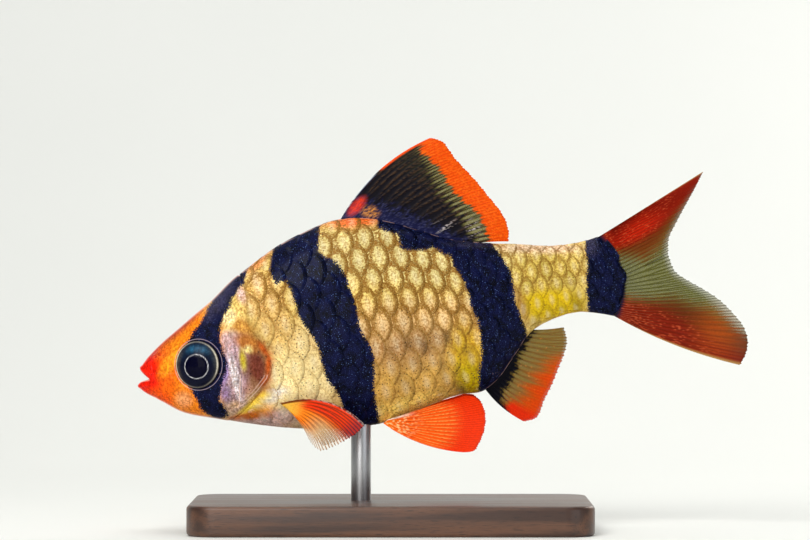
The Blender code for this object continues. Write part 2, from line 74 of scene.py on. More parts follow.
# %% [markdown]
# A fish's outline is smooth, and a few measured places are enough for it. Three helpers do all the curves
# here: smooth() runs a curve without corners through pairs of place and value, smooth_line() does the same
# for a line in the side view, and side_distance() tells how far a place is inside or outside an outline.


# %% Curves in the side view
def smooth(points):
    """A curve through (place, value) pairs, as a function of the place."""
    place, value = np.array(points, float).T
    step = np.diff(place)
    rise = np.diff(value) / step
    slope = np.empty_like(value)
    slope[1:-1] = (rise[:-1] * step[1:] + rise[1:] * step[:-1]) / (step[:-1] + step[1:])
    slope[0], slope[-1] = rise[0], rise[-1]

    def at(where):
        where = np.clip(where, place[0], place[-1])
        i = np.clip(np.searchsorted(place, where) - 1, 0, len(step) - 1)
        u = (where - place[i]) / step[i]
        start = value[i] * (1 + 2 * u) * (1 - u) ** 2 + slope[i] * step[i] * u * (1 - u) ** 2
        end = value[i + 1] * u * u * (3 - 2 * u) + slope[i + 1] * step[i] * u * u * (u - 1)
        return start + end

    return at


def smooth_line(points):
    """A smooth line through (x, z) places, as a function of its share from 0 to 1."""
    points = np.array(points, float)
    run = np.concatenate([[0], np.cumsum(np.linalg.norm(np.diff(points, axis=0), axis=1))])
    run /= run[-1]
    x_at, z_at = smooth(list(zip(run, points[:, 0]))), smooth(list(zip(run, points[:, 1])))
    return lambda share: np.stack([x_at(share), z_at(share)], axis=-1)


def line_distance(x, z, line):
    """(distance to a line of points, share of its length at the nearest place)."""
    line = np.asarray(line, float)
    spans = np.linalg.norm(np.diff(line, axis=0), axis=1)
    total, passed = spans.sum(), 0.0
    nearest, where = np.full(np.shape(x), 1e9), np.zeros(np.shape(x))
    for (ax, az), (bx, bz), span in zip(line[:-1], line[1:], spans):
        share = np.clip(((x - ax) * (bx - ax) + (z - az) * (bz - az)) / span**2, 0, 1)
        away = np.hypot(x - ax - share * (bx - ax), z - az - share * (bz - az))
        closer = away < nearest
        nearest = np.where(closer, away, nearest)
        where = np.where(closer, (passed + share * span) / total, where)
        passed += span
    return nearest, where


def side_distance(x, z, outline):
    """How far places are inside a closed outline, with a minus sign outside it."""
    ring = list(outline) + [outline[0]]
    away, _ = line_distance(x, z, ring)
    inside = np.zeros(np.shape(x), bool)
    for (ax, az), (bx, bz) in zip(ring[:-1], ring[1:]):
        crosses = (az > z) != (bz > z)
        reach = (bx - ax) * (z - az) / (bz - az if bz != az else 1e-9) + ax
        inside ^= crosses & (x < reach)
    return np.where(inside, away, -away)


def ease(low, high, value):
    """0 below low, 1 above high and a soft step between them."""
    t = np.clip((value - low) / (high - low), 0, 1)
    return t * t * (3 - 2 * t)


# %% [markdown]
# The body is a loft. Its back and belly lines come from the side view, its thickness from the species, seen
# from above: widest behind the gills, then thin towards the tail. A place on it is named by its distance
# along the body's own axis, which rises to the tail, and by an angle that is 0 on the back and half a turn on
# the belly. The tail bends a little away from the left side. These are the sizes that the solids have.

# %% The body's form
BODY_PITCH = math.radians(11.5)
LIP_TIP = (-30.25, 14.5)
BACK_LINE = (
    (-30.1, 16.0), (-29.6, 16.9), (-29.1, 17.5), (-27.7, 18.9), (-26.3, 20.1), (-24.8, 21.4),
    (-22.9, 23.0), (-20.8, 25.1), (-18.9, 26.6), (-16.6, 28.3), (-13.8, 29.8), (-10.3, 31.1),
    (-8.1, 31.3), (-5.6, 31.0), (-2.6, 30.2), (0.7, 29.2), (3.9, 28.8), (7.5, 28.65),
    (11.4, 28.5), (13.9, 28.85), (16.4, 29.6),
)
BELLY_LINE = (
    (-30.0, 14.1), (-29.5, 13.7), (-28.2, 13.05), (-25.8, 11.8), (-22.2, 11.1), (-19.1, 10.6),
    (-13.8, 10.1), (-9.1, 10.2), (-5.6, 10.7), (-2.1, 12.0), (1.9, 13.5), (4.3, 13.9), (5.6, 14.9),
    (7.6, 17.7), (8.9, 19.6), (11.4, 21.1), (13.9, 21.75), (15.5, 21.65), (17.6, 21.3),
)
HALF_WIDTHS = (
    (0.0, 0.0), (0.3, 0.85), (1.0, 1.45), (2.5, 2.1), (5.0, 2.85), (8.0, 3.5), (11.0, 3.95), (15.0, 4.2),
    (20.0, 4.25), (26.0, 3.95), (32.0, 3.2), (37.0, 2.35), (42.0, 1.65), (46.0, 1.2), (50.5, 0.6),
)
WIDEST_SHARE = 0.47
SECTION_POWER = 0.93
BEND_START, BEND_AT_TAIL = 32.0, 0.7
TAIL_BASE, TAIL_ARC = 48.4, 1.6
GILL_LINE = (
    (-20.3, 25.6), (-19.5, 23.0), (-19.1, 20.1), (-17.9, 18.7), (-17.1, 17.3), (-16.85, 16.2),
    (-17.1, 15.2), (-18.1, 13.7), (-19.4, 12.2), (-20.5, 11.3), (-21.3, 10.85),
)


def to_axis(x, z):
    """(distance along the body's axis, height over it) of a place on the middle plane."""
    dx, dz = x - LIP_TIP[0], z - LIP_TIP[1]
    cos, sin = math.cos(BODY_PITCH), math.sin(BODY_PITCH)
    return dx * cos + dz * sin, dz * cos - dx * sin


def to_level(s, h):
    cos, sin = math.cos(BODY_PITCH), math.sin(BODY_PITCH)
    return LIP_TIP[0] + s * cos - h * sin, LIP_TIP[1] + s * sin + h * cos


def over_root(pairs):
    return smooth([(math.sqrt(s), value) for s, value in pairs])


back_height = over_root([(0.0, 0.0)] + [to_axis(*p) for p in BACK_LINE])
belly_height = over_root([(0.0, 0.0)] + [to_axis(*p) for p in BELLY_LINE])
half_width = over_root(HALF_WIDTHS)


def bend_at(s):
    past = np.maximum(s - BEND_START, 0) / (TAIL_BASE - BEND_START)
    return BEND_AT_TAIL * np.where(past < 1, past**2, 2 * past - 1)


def body_end(angle):
    """Where the round end of the tail stalk lies along the axis, at an angle."""
    return TAIL_BASE + TAIL_ARC * np.sin(angle) ** 2


def section(s):
    """(height of the widest level, height above it, depth below it) at a distance along the axis."""
    root = np.sqrt(np.maximum(s, 0))
    top, bottom = back_height(root), belly_height(root)
    widest = bottom + WIDEST_SHARE * (top - bottom)
    return widest, top - widest, widest - bottom


def body_point(s, angle):
    widest, up, down = section(s)
    cos, sin = np.cos(angle), np.sin(angle)
    h = widest + np.where(cos > 0, up, down) * cos
    side = half_width(np.sqrt(np.maximum(s, 0))) * np.sign(sin) * np.abs(sin) ** SECTION_POWER
    x, z = to_level(s, h)
    return np.stack([x, bend_at(s) - side, z], axis=-1)


def body_normal(s, angle):
    ds, da = 0.02, 0.01
    s = np.maximum(s, 2 * ds)
    along = body_point(s + ds, angle) - body_point(s - ds, angle)
    around = body_point(s, angle + da) - body_point(s, angle - da)
    normal = np.cross(around, along)
    return normal / np.linalg.norm(normal, axis=-1, keepdims=True)


def angle_of(x, z):
    """(distance along the axis, angle round the left side) of a place seen from the side."""
    s, h = to_axis(x, z)
    widest, up, down = section(s)
    share = (h - widest) / np.where(h > widest, up, down)
    return s, np.arccos(np.clip(share, -1, 1))


def side_at(x, z):
    """Half the body's thickness at a place seen from the side."""
    s, angle = angle_of(x, z)
    return half_width(np.sqrt(s)) * np.sin(angle) ** SECTION_POWER


print("deepest section", round(float(section(np.array(22.0))[1] + section(np.array(22.0))[2]), 1), "mm")

# %% [markdown]
# Rings of the skin are spaced evenly round the body, not evenly in angle, or the narrow back would get most
# of the points. girth_table() walks round half a section in small steps and keeps how far it has come, and
# angle_at() reads the walk backwards: from a distance along the axis and a share of the half girth it gives
# the angle. The scales use the same table to keep their rows apart by a real distance.

# %% Even steps round the body
GIRTH_STEPS = 241
TABLE_SPACING = 0.25
table_places = np.arange(0.0, TAIL_BASE + TAIL_ARC + 2.0, TABLE_SPACING)


def girth_table():
    angles = np.linspace(0, math.pi, GIRTH_STEPS)
    s, a = np.meshgrid(table_places, angles, indexing="ij")
    points = body_point(np.maximum(s, 0.02), a)
    steps = np.linalg.norm(np.diff(points, axis=1), axis=2)
    run = np.concatenate([np.zeros((len(table_places), 1)), np.cumsum(steps, axis=1)], axis=1)
    half_girth = run[:, -1].copy()
    shares = np.linspace(0, 1, GIRTH_STEPS)
    table = np.array([np.interp(shares, row / row[-1], angles) for row in run])
    widest = np.array([np.interp(math.pi / 2, angles, row) for row in run])
    return table, half_girth, widest


angle_table, half_girths, widest_runs = girth_table()


def angle_at(s, share):
    """The angle at a share of the half girth, 0 on the back and 1 on the belly."""
    row = np.clip(s / TABLE_SPACING, 0, len(table_places) - 1.001)
    column = np.clip(share, 0, 1) * (GIRTH_STEPS - 1)
    i, j = row.astype(int), np.minimum(column.astype(int), GIRTH_STEPS - 2)
    u, v = row - i, column - j
    low = angle_table[i, j] * (1 - v) + angle_table[i, j + 1] * v
    high = angle_table[i + 1, j] * (1 - v) + angle_table[i + 1, j + 1] * v
    return low * (1 - u) + high * u


def half_girth_at(s):
    return np.interp(s, table_places, half_girths)


print("half girth at the deepest section", round(float(half_girth_at(22.0)), 1), "mm")

# %% [markdown]
# The markings are told once, as outlines and patches in the side view, and both the skin and the scales ask
# for them at their own points. Four dark bands cross the body. Their outlines are closed lines of a few
# places each, and a point keeps its distance inside the nearest band. The materials turn that distance into a
# ragged edge, so the bands stay sharp on coarse and fine meshes alike.

# %% Bands
BAND_1 = (
    (-23.4, 24.6), (-22.7, 22.9), (-23.7, 20.9), (-24.5, 19.8), (-25.9, 17.5), (-25.4, 15.2), (-24.6, 13.9),
    (-24.15, 13.15), (-23.85, 12.3), (-23.2, 11.75), (-22.4, 11.1), (-21.3, 11.6), (-21.7, 12.4),
    (-22.2, 13.1), (-22.0, 13.9), (-21.9, 14.8), (-21.5, 15.7), (-21.3, 16.7), (-21.7, 17.6), (-22.1, 18.9),
    (-22.2, 19.3), (-22.0, 20.4), (-21.8, 21.6), (-21.2, 22.2), (-20.8, 23.4), (-19.9, 24.7), (-19.5, 26.1),
    (-19.8, 28.5),
)
BAND_2 = (
    (-16.9, 30.0), (-16.7, 28.0), (-16.75, 26.6), (-16.9, 25.9), (-16.4, 24.7), (-16.0, 25.0), (-15.5, 25.5),
    (-14.5, 23.3), (-14.0, 21.5), (-13.3, 20.3), (-12.5, 19.3), (-11.9, 18.0), (-11.6, 16.7), (-11.4, 15.5),
    (-10.8, 14.7), (-10.0, 13.5), (-9.6, 12.4), (-8.7, 9.5), (-6.1, 9.5), (-6.5, 12.0), (-6.7, 13.2),
    (-6.9, 14.3), (-6.75, 16.0), (-6.85, 17.7), (-7.5, 19.0), (-8.1, 19.9), (-8.4, 20.9), (-8.65, 22.5),
    (-9.2, 24.1), (-9.7, 25.5), (-10.3, 26.7), (-11.5, 27.0), (-12.4, 27.8), (-12.4, 29.6), (-12.1, 32.0),
)
BAND_3 = (
    (-6.3, 32.0), (-6.1, 30.4), (-5.1, 29.9), (-4.1, 29.8), (-3.9, 28.3), (-2.1, 28.1), (-0.3, 28.5),
    (0.3, 27.8), (1.05, 27.7), (1.4, 26.5), (2.05, 25.7), (2.55, 24.7), (2.9, 23.5), (3.35, 21.9),
    (3.9, 20.8), (4.15, 18.7), (4.2, 17.0), (3.9, 15.7), (3.95, 14.5), (3.8, 12.0), (9.0, 16.0),
    (8.6, 19.2), (8.0, 20.9), (7.5, 22.0), (7.2, 23.1), (7.0, 24.4), (6.9, 25.7), (6.2, 26.7),
    (5.8, 27.5), (5.0, 28.6), (4.9, 30.0),
)
BAND_4 = (
    (14.5, 30.5), (14.6, 28.6), (14.75, 26.3), (14.7, 23.8), (14.9, 21.8), (14.9, 20.5), (17.2, 20.8),
    (17.4, 21.6), (18.1, 22.4), (18.7, 23.6), (18.9, 25.0), (18.6, 26.4), (17.6, 27.8), (16.9, 29.4),
    (16.6, 31.0),
)
BANDS = (BAND_1, BAND_2, BAND_3, BAND_4)
BAND_REACH = 2.0


def band_depth(x, z):
    """Millimetres inside the nearest dark band, with a minus sign outside."""
    depth = np.full(np.shape(x), -BAND_REACH)
    for outline in BANDS:
        depth = np.maximum(depth, side_distance(x, z, outline))
    return np.clip(depth, -BAND_REACH, BAND_REACH)


# %% [markdown]
# Between the bands the colour changes slowly: straw on the flank, warmer on the back, amber and pinkish cream
# on the belly, a red nose, silver cheeks. It is painted in order, as a painter of models would, with soft
# patches. A patch has a place, two radii, a turn, a colour, a strength, a softness and a share of metal,
# because the cheeks and the gold spot shine like foil.

# %% Soft patches of colour
def linear(red, green, blue):
    """A colour as it looks on a screen, from 0 to 255, in the light values that Blender mixes."""
    c = np.array([red, green, blue]) / 255
    return np.where(c <= 0.04045, c / 12.92, ((c + 0.055) / 1.055) ** 2.4)


FLANK = linear(222, 196, 112)
# place, radii, turn in degrees, colour, strength, softness, metal
PATCHES = (
    ((-4.0, 27.5), (14.0, 3.4), -2, (206, 192, 128), 0.85, 0.5, 0.05),
    ((-4.0, 20.0), (13.0, 3.4), 8, (212, 172, 116), 0.85, 0.5, 0.05),
    ((-6.0, 14.5), (15.0, 4.0), 10, (206, 158, 76), 0.85, 0.5, 0.08),
    ((-3.6, 18.2), (6.5, 2.6), 8, (158, 118, 78), 0.7, 0.8, 0.05),
    ((-3.0, 12.2), (7.0, 1.3), 14, (255, 220, 112), 0.9, 0.6, 0.05),
    ((-14.5, 14.0), (5.0, 4.2), 10, (250, 230, 168), 0.95, 0.5, 0.15),
    ((-13.2, 17.5), (2.5, 4.5), -10, (238, 214, 150), 0.75, 0.6, 0.12),
    ((-17.2, 22.3), (2.4, 4.6), 25, (218, 174, 104), 0.7, 0.6, 0.08),
    ((-19.9, 23.6), (0.55, 1.1), 20, (226, 196, 200), 0.8, 0.8, 0.25),
    ((-18.4, 25.0), (0.6, 1.1), 20, (222, 190, 150), 0.7, 0.8, 0.2),
    ((-17.4, 11.0), (4.4, 1.3), 4, (232, 198, 198), 0.9, 0.5, 0.2),
    ((-12.0, 10.6), (4.0, 0.9), 2, (240, 204, 158), 0.8, 0.6, 0.1),
    ((-17.8, 11.9), (1.6, 0.6), 20, (250, 166, 48), 0.9, 0.8, 0.05),
    ((2.6, 17.5), (2.1, 4.2), 8, (206, 166, 20), 0.85, 0.6, 0.0),
    ((3.0, 14.8), (1.7, 2.6), 20, (182, 162, 0), 0.9, 0.6, 0.0),
    ((10.4, 25.4), (4.4, 3.0), 0, (192, 168, 72), 0.8, 0.5, 0.05),
    ((10.8, 22.5), (4.4, 1.9), 2, (208, 176, 0), 0.95, 0.5, 0.0),
    ((7.9, 22.6), (0.7, 2.4), 20, (160, 112, 70), 0.7, 0.8, 0.0),
    ((13.6, 22.8), (0.8, 1.6), 10, (146, 124, 20), 0.7, 0.8, 0.0),
    ((10.0, 28.2), (5.0, 0.6), 0, (226, 196, 176), 0.7, 0.6, 0.2),
    ((-14.6, 29.2), (3.2, 0.8), 28, (232, 140, 60), 0.9, 0.6, 0.0),
    ((-8.6, 30.9), (3.4, 0.8), 4, (236, 110, 40), 0.95, 0.6, 0.0),
    ((-18.6, 26.9), (1.8, 0.9), 38, (230, 150, 90), 0.9, 0.6, 0.05),
    ((-26.0, 16.5), (5.4, 7.5), 0, (246, 138, 24), 1.0, 0.35, 0.0),
    ((-27.6, 15.0), (1.6, 3.0), 0, (244, 100, 10), 0.9, 0.6, 0.0),
    ((-29.6, 15.6), (2.1, 3.0), 0, (236, 30, 6), 1.0, 0.45, 0.0),
    ((-28.0, 13.2), (1.6, 1.0), -30, (246, 84, 8), 0.8, 0.6, 0.0),
    ((-26.9, 16.9), (0.8, 2.2), -35, (250, 164, 30), 0.8, 0.6, 0.0),
    ((-26.2, 20.3), (4.2, 0.75), 42, (172, 60, 46), 0.9, 0.7, 0.0),
    ((-28.7, 17.9), (1.3, 0.8), 42, (186, 56, 58), 0.8, 0.8, 0.0),
    ((-27.6, 17.8), (1.1, 0.8), 42, (214, 88, 28), 0.6, 0.8, 0.0),
    ((-25.6, 13.1), (1.0, 0.9), -20, (246, 168, 108), 0.9, 0.7, 0.0),
    ((-20.4, 16.0), (1.8, 5.0), -4, (176, 148, 158), 1.0, 0.4, 0.25),
    ((-16.7, 18.2), (0.35, 1.0), 35, (150, 112, 84), 0.6, 0.9, 0.0),
    ((-19.8, 20.4), (1.8, 0.9), -25, (200, 146, 60), 0.95, 0.6, 0.12),
    ((-21.3, 19.0), (0.75, 1.1), 10, (204, 170, 174), 0.9, 0.7, 0.3),
    ((-21.5, 15.7), (0.5, 1.5), -14, (168, 142, 212), 0.95, 0.8, 0.25),
    ((-21.45, 13.8), (0.6, 0.9), 0, (156, 128, 182), 0.8, 0.8, 0.2),
    # Near-white streak on the silver cheek: silver foil with a painted highlight; the grey streak after it is
    # painted shade between the foil's streaks.
    ((-20.4, 15.3), (0.5, 2.6), 14, (244, 240, 246), 0.95, 0.8, 0.4),
    ((-19.9, 14.2), (0.3, 1.8), 18, (150, 128, 136), 0.7, 0.8, 0.2),
    ((-20.5, 12.6), (0.8, 0.5), 20, (214, 176, 130), 0.8, 0.8, 0.2),
    ((-18.2, 16.4), (1.7, 3.5), 8, (112, 54, 40), 1.0, 0.75, 0.06),
    ((-19.2, 18.8), (1.6, 1.0), -25, (176, 110, 38), 0.95, 0.6, 0.12),
    ((-19.1, 18.15), (0.5, 0.45), 0, (252, 236, 150), 0.9, 0.9, 0.35),
    ((-19.65, 17.1), (0.4, 1.3), 8, (204, 188, 26), 0.9, 0.8, 0.15),
    ((-19.0, 14.2), (0.9, 0.8), 40, (172, 116, 106), 0.55, 0.8, 0.1),
    ((-17.6, 18.15), (0.35, 1.1), 32, (190, 84, 22), 0.9, 0.8, 0.0),
    ((-17.1, 16.6), (0.36, 1.5), -2, (204, 88, 18), 0.95, 0.8, 0.0),
    ((-17.45, 15.0), (0.34, 0.9), -36, (196, 92, 30), 0.9, 0.8, 0.0),
    ((-18.0, 13.45), (0.45, 1.9), -45, (178, 106, 28), 0.9, 0.7, 0.05),
    ((-18.6, 12.75), (0.36, 2.6), -54, (246, 214, 76), 1.0, 0.6, 0.15),
    ((-19.0, 11.45), (2.6, 0.45), 8, (200, 100, 14), 0.95, 0.6, 0.0),
    ((-16.3, 13.6), (0.5, 1.5), -48, (250, 242, 236), 0.9, 0.8, 0.25),
    ((-21.1, 21.3), (0.8, 1.05), -20, (240, 220, 158), 1.0, 0.6, 0.3),
)


def patch_share(x, z, place, radii, turn, softness):
    """1 in the middle of a patch, fading to 0 at its edge."""
    a = math.radians(turn)
    dx, dz = x - place[0], z - place[1]
    u = (dx * math.cos(a) + dz * math.sin(a)) / radii[0]
    v = (dz * math.cos(a) - dx * math.sin(a)) / radii[1]
    return 1 - ease(1 - softness, 1 + softness * 0.4, np.hypot(u, v))


def paint(x, z):
    """(colour, metal) of the body between the bands."""
    colour = np.tile(FLANK, (len(x), 1))
    metal = np.full(len(x), 0.05)
    for place, radii, turn, shade, strength, softness, shine in PATCHES:
        share = strength * patch_share(x, z, place, radii, turn, softness)
        colour += (linear(*shade) - colour) * share[:, None]
        metal += (shine - metal) * share
    return colour, metal


# %% [markdown]
# Two more fields ride with the colour. "net" says how plainly the scales' rims are drawn in brown gold, and
# "dots" says how thick the fine black dots are. set_values() writes any such value on a mesh's points, where
# a material's Attribute node finds it.

# %% Values on a mesh
def net_strength(x, z):
    s, h = to_axis(x, z)
    widest, up, down = section(s)
    level = (h - widest) / up
    plain = 0.15 + 0.85 * ease(-0.45, 0.15, level)
    shoulder = 1 - 0.8 * ease(-11.5, -13.0, x) * ease(23.5, 20.5, z)
    stalk = 1 - ease(5.0, 7.0, x) * (0.4 + 0.5 * ease(0.15, -0.35, level))
    return plain * ease(10.0, 14.0, s) * shoulder * stalk


def dot_strength(x, z):
    belly = patch_share(x, z, (-2.5, 14.5), (7.0, 5.0), 10, 0.6)
    shoulder = patch_share(x, z, (-15.2, 18.0), (3.0, 6.0), 15, 0.6)
    head = ease(-19.0, -21.5, x)
    return np.clip(0.25 + 0.6 * belly + 0.75 * shoulder, 0, 1) * (1 - 0.75 * head)


SMUDGES = (
    ((-1.6, 18.4), 0.7), ((0.55, 19.4), 0.75), ((-3.4, 18.6), 0.6), ((2.6, 18.0), 0.45), ((2.0, 14.2), 0.9),
    ((-5.0, 17.8), 0.4), ((-2.0, 16.3), 0.4), ((-4.4, 15.4), 0.35), ((0.0, 16.6), 0.5), ((1.6, 15.9), 0.4),
)


def smudge_strength(x, z):
    dark = np.zeros(len(x))
    for place, strength in SMUDGES:
        dark = np.maximum(dark, strength * patch_share(x, z, place, (0.55, 0.95), 14, 0.9))
    return dark


# place, radii, turn in degrees, strength
HAZES = (
    ((-22.3, 23.0), (1.2, 3.0), -38, 0.85),
    ((14.9, 28.5), (0.9, 1.3), 20, 0.7),
    ((3.4, 28.8), (2.6, 0.6), 0, 0.4),
)


def haze_strength(x, z):
    """Where the dark bands shimmer in grey violet."""
    haze = np.zeros(len(x))
    for place, radii, turn, strength in HAZES:
        haze = np.maximum(haze, strength * patch_share(x, z, place, radii, turn, 0.8))
    return haze


def set_values(mesh, name, values):
    values = np.asarray(values, float)
    if values.ndim == 1:
        layer = mesh.attributes.new(name, "FLOAT", "POINT")
        layer.data.foreach_set("value", values.astype(np.float32))
    else:
        layer = mesh.attributes.new(name, "FLOAT_COLOR", "POINT")
        flat = np.concatenate([values, np.ones((len(values), 1))], axis=1)
        layer.data.foreach_set("color", flat.astype(np.float32).ravel())


def mark_body(mesh, x, z):
    """Writes all the body's fields on the points of a mesh that are at x and z in the side view."""
    colour, metal = paint(x, z)
    set_values(mesh, "paint", colour)
    set_values(mesh, "metal", metal)
    set_values(mesh, "band", band_depth(x, z))
    set_values(mesh, "net", net_strength(x, z))
    set_values(mesh, "dots", dot_strength(x, z))
    set_values(mesh, "smudge", smudge_strength(x, z))
    set_values(mesh, "haze", haze_strength(x, z))


def get_places(mesh):
    places = np.empty(len(mesh.vertices) * 3, np.float32)
    mesh.vertices.foreach_get("co", places)
    return places.reshape(-1, 3).astype(float) / MM


def put_places(mesh, places):
    mesh.vertices.foreach_set("co", (np.asarray(places) * MM).astype(np.float32).ravel())
    mesh.update()


# %% [markdown]
# The skin starts as a ball with many rings. Each of its points is moved to its own place on the body: the
# ring gives the distance from the lip, the segment the share of the girth. Rings lie closest on the head.
# Behind the gills the skin stays inside the solids by the depth of the scales, so that the coat comes out at
# the solids' own size. The mouth, nostrils, eye sockets and gill covers are then pressed in and pulled out by
# given amounts, as a sculptor would.

# %% The skin's relief
COAT_DEPTH = 0.06
EYE_CENTRE = (-24.12, 16.6)
EYE_MIDDLE = 2.33
EYE_RADII = (2.36, 1.25, 2.5)
EYE_EDGE = (2.22, 2.36)
EYE_EDGE_HEIGHT = 0.42
EYE_RIM = 0.1
EYE_DIP = 0.8
SOCKET_DEPTH = 0.9
EYE_TURN = math.radians(14.0)
MOUTH_CORNER = (-29.25, 15.04)
GAPE_FRONT = (-30.42, 15.33)
GAPE_HALF = 0.56
LIP_RADIUS, LIP_WIDTH = 0.55, 0.7
MOUTH_BACK = 0.1
NOSTRILS = ((-28.45, 17.35, 0.16), (-28.05, 17.6, 0.22))
COVER = (
    (-19.3, 20.3), (-19.0, 19.9), (-17.9, 18.7), (-17.1, 17.3), (-16.85, 16.2), (-17.1, 15.2), (-18.1, 13.9),
    (-19.4, 12.6), (-20.3, 12.0), (-20.2, 14.0), (-20.1, 16.0), (-20.0, 18.0), (-19.8, 19.6),
)
UNDER_COVER = ((-16.9, 15.4), (-19.3, 13.0), (-20.9, 12.2))
CHEEK_EDGE = ((-21.2, 19.4), (-20.6, 17.8), (-20.35, 16.0), (-20.5, 14.2), (-21.3, 12.9), (-23.2, 12.4))
MAXILLA = ((-28.9, 17.0), (-28.65, 15.8), (-28.2, 14.6), (-27.95, 13.3))


def bump(distance, width):
    return np.exp(-((distance / width) ** 2))


def gape(x, z):
    """(distance from the mouth's middle line, how far towards the front, 0 at the corner)."""
    return line_distance(x, z, (MOUTH_CORNER, GAPE_FRONT))


def relief(x, z, s):
    """How far the head's surface stands out from the plain loft, in millimetres."""
    away, front = gape(x, z)
    lips = 0.15 * bump(away - GAPE_HALF * front - 0.5, 0.36) * ease(1.9, 0.9, s)
    lips -= 0.05 * bump(away - GAPE_HALF * front - 0.75, 0.2) * ease(2.4, 1.2, s)
    maxilla, _ = line_distance(x, z, MAXILLA)
    jaw_fold = -0.05 * bump(maxilla, 0.12) + 0.03 * bump(maxilla - 0.3, 0.2)
    cheek, _ = line_distance(x, z, CHEEK_EDGE)
    ahead = np.where(x < np.interp(z, (12.4, 16.0, 19.4), (-21.6, -20.35, -21.2)), 1, -1)
    cheek_step = 0.05 * ease(-0.15, 0.15, cheek * ahead) * ease(1.2, 0.2, cheek)
    inside = side_distance(x, z, COVER)
    cover = 0.17 * ease(-0.05, 0.5, inside) + 0.06 * bump(inside - 0.2, 0.15)
    under, _ = line_distance(x, z, UNDER_COVER)
    seam = -0.1 * bump(under, 0.1)
    pits = np.zeros(np.shape(x))
    for px, pz, radius in NOSTRILS:
        from_pit = np.hypot(x - px, z - pz)
        pits += -0.3 * ease(radius, radius * 0.4, from_pit) + 0.07 * bump(from_pit - radius * 1.25, 0.09)
    return lips + jaw_fold + cheek_step + cover + seam + pits


def eye_distance(x, z):
    """Millimetres outside the eye's edge in the side view, with a minus sign inside it."""
    around = np.hypot((x - EYE_CENTRE[0]) / EYE_EDGE[0], (z - EYE_CENTRE[1]) / EYE_EDGE[1])
    return (around - 1) * EYE_EDGE[1]


def sink_round_eye(places, x, z, from_eye):
    """Lets the skin dip to the eye's edge with a fine rim, and drop behind the eye."""
    side = np.sign(places[:, 1])
    edge = EYE_MIDDLE + math.tan(EYE_TURN) * (x - EYE_CENTRE[0]) + EYE_EDGE_HEIGHT
    edge = edge + EYE_RIM * bump(from_eye - 0.1, 0.09) - SOCKET_DEPTH * ease(0.0, -0.22, from_eye)
    share = ease(EYE_DIP, 0.05, from_eye)
    return side * (np.abs(places[:, 1]) * (1 - share) + edge * share)


def gill_edge():
    pairs = [(float(angle_of(*p)[1]), float(angle_of(*p)[0])) for p in GILL_LINE]
    pairs[0] = (0.0, pairs[0][1])
    pairs[-1] = (math.pi, pairs[-1][1])
    return smooth(pairs)


gill_at = gill_edge()

# %% [markdown]
# The skin itself. Its rings lie close on the head and wide on the trunk. The lips are rounded off, the open
# mouth is pushed back to its corner, a groove runs behind the gill covers, and the end closes on the stalk.
# Each point also keeps what the material asks for: the markings, the mouth, the eye sockets, and how far it
# is from the eye, from the lips' edge and from the edge of the gill cover.

# %% Skin
SKIN_SEGMENTS, SKIN_RINGS = 288, 224
HEAD_SHARE = 0.58
HEAD_LENGTH = 15.0
ROUGH_PLACE = 20.0
GROOVE_DEPTH, GROOVE_PLACE, GROOVE_WIDTH = 0.14, 0.12, 0.14
MOUTH_STARTS, MOUTH_FULL = -28.7, -29.3
END_CLOSING = 0.45
LIP_LINE_BEHIND, COVER_LINE_BELOW = -28.9, 15.7
HEAD_NODES = ("head", "lower_jaw", "gill_cover_left", "gill_cover_right", "torso", "tail_stalk")


def deselect():
    if bpy.context.object and bpy.context.object.mode != "OBJECT":
        bpy.ops.object.mode_set(mode="OBJECT")
    bpy.ops.object.select_all(action="DESELECT")


def finish_surface(piece):
    """Turns the faces of a closed mesh outwards and lets them shade smoothly."""
    deselect()
    bpy.context.view_layer.objects.active = piece
    piece.select_set(True)
    bpy.ops.object.mode_set(mode="EDIT")
    bpy.ops.mesh.select_all(action="SELECT")
    bpy.ops.mesh.normals_make_consistent(inside=False)
    bpy.ops.object.mode_set(mode="OBJECT")
    piece.data.shade_smooth()


def ring_distance(share, angle):
    """Where along the axis a ring runs at an angle: close rings on the head, wide ones on the trunk."""
    root = np.sqrt(HEAD_LENGTH)
    on_head = (np.clip(share / HEAD_SHARE, 0, 1) * root * 0.45 +
               0.55 * root * np.clip(share / HEAD_SHARE, 0, 1) ** 0.6) ** 2
    behind = np.clip((share - HEAD_SHARE) / (1 - HEAD_SHARE), 0, 1)
    return np.where(share < HEAD_SHARE, on_head, HEAD_LENGTH + (body_end(angle) - HEAD_LENGTH) * behind)


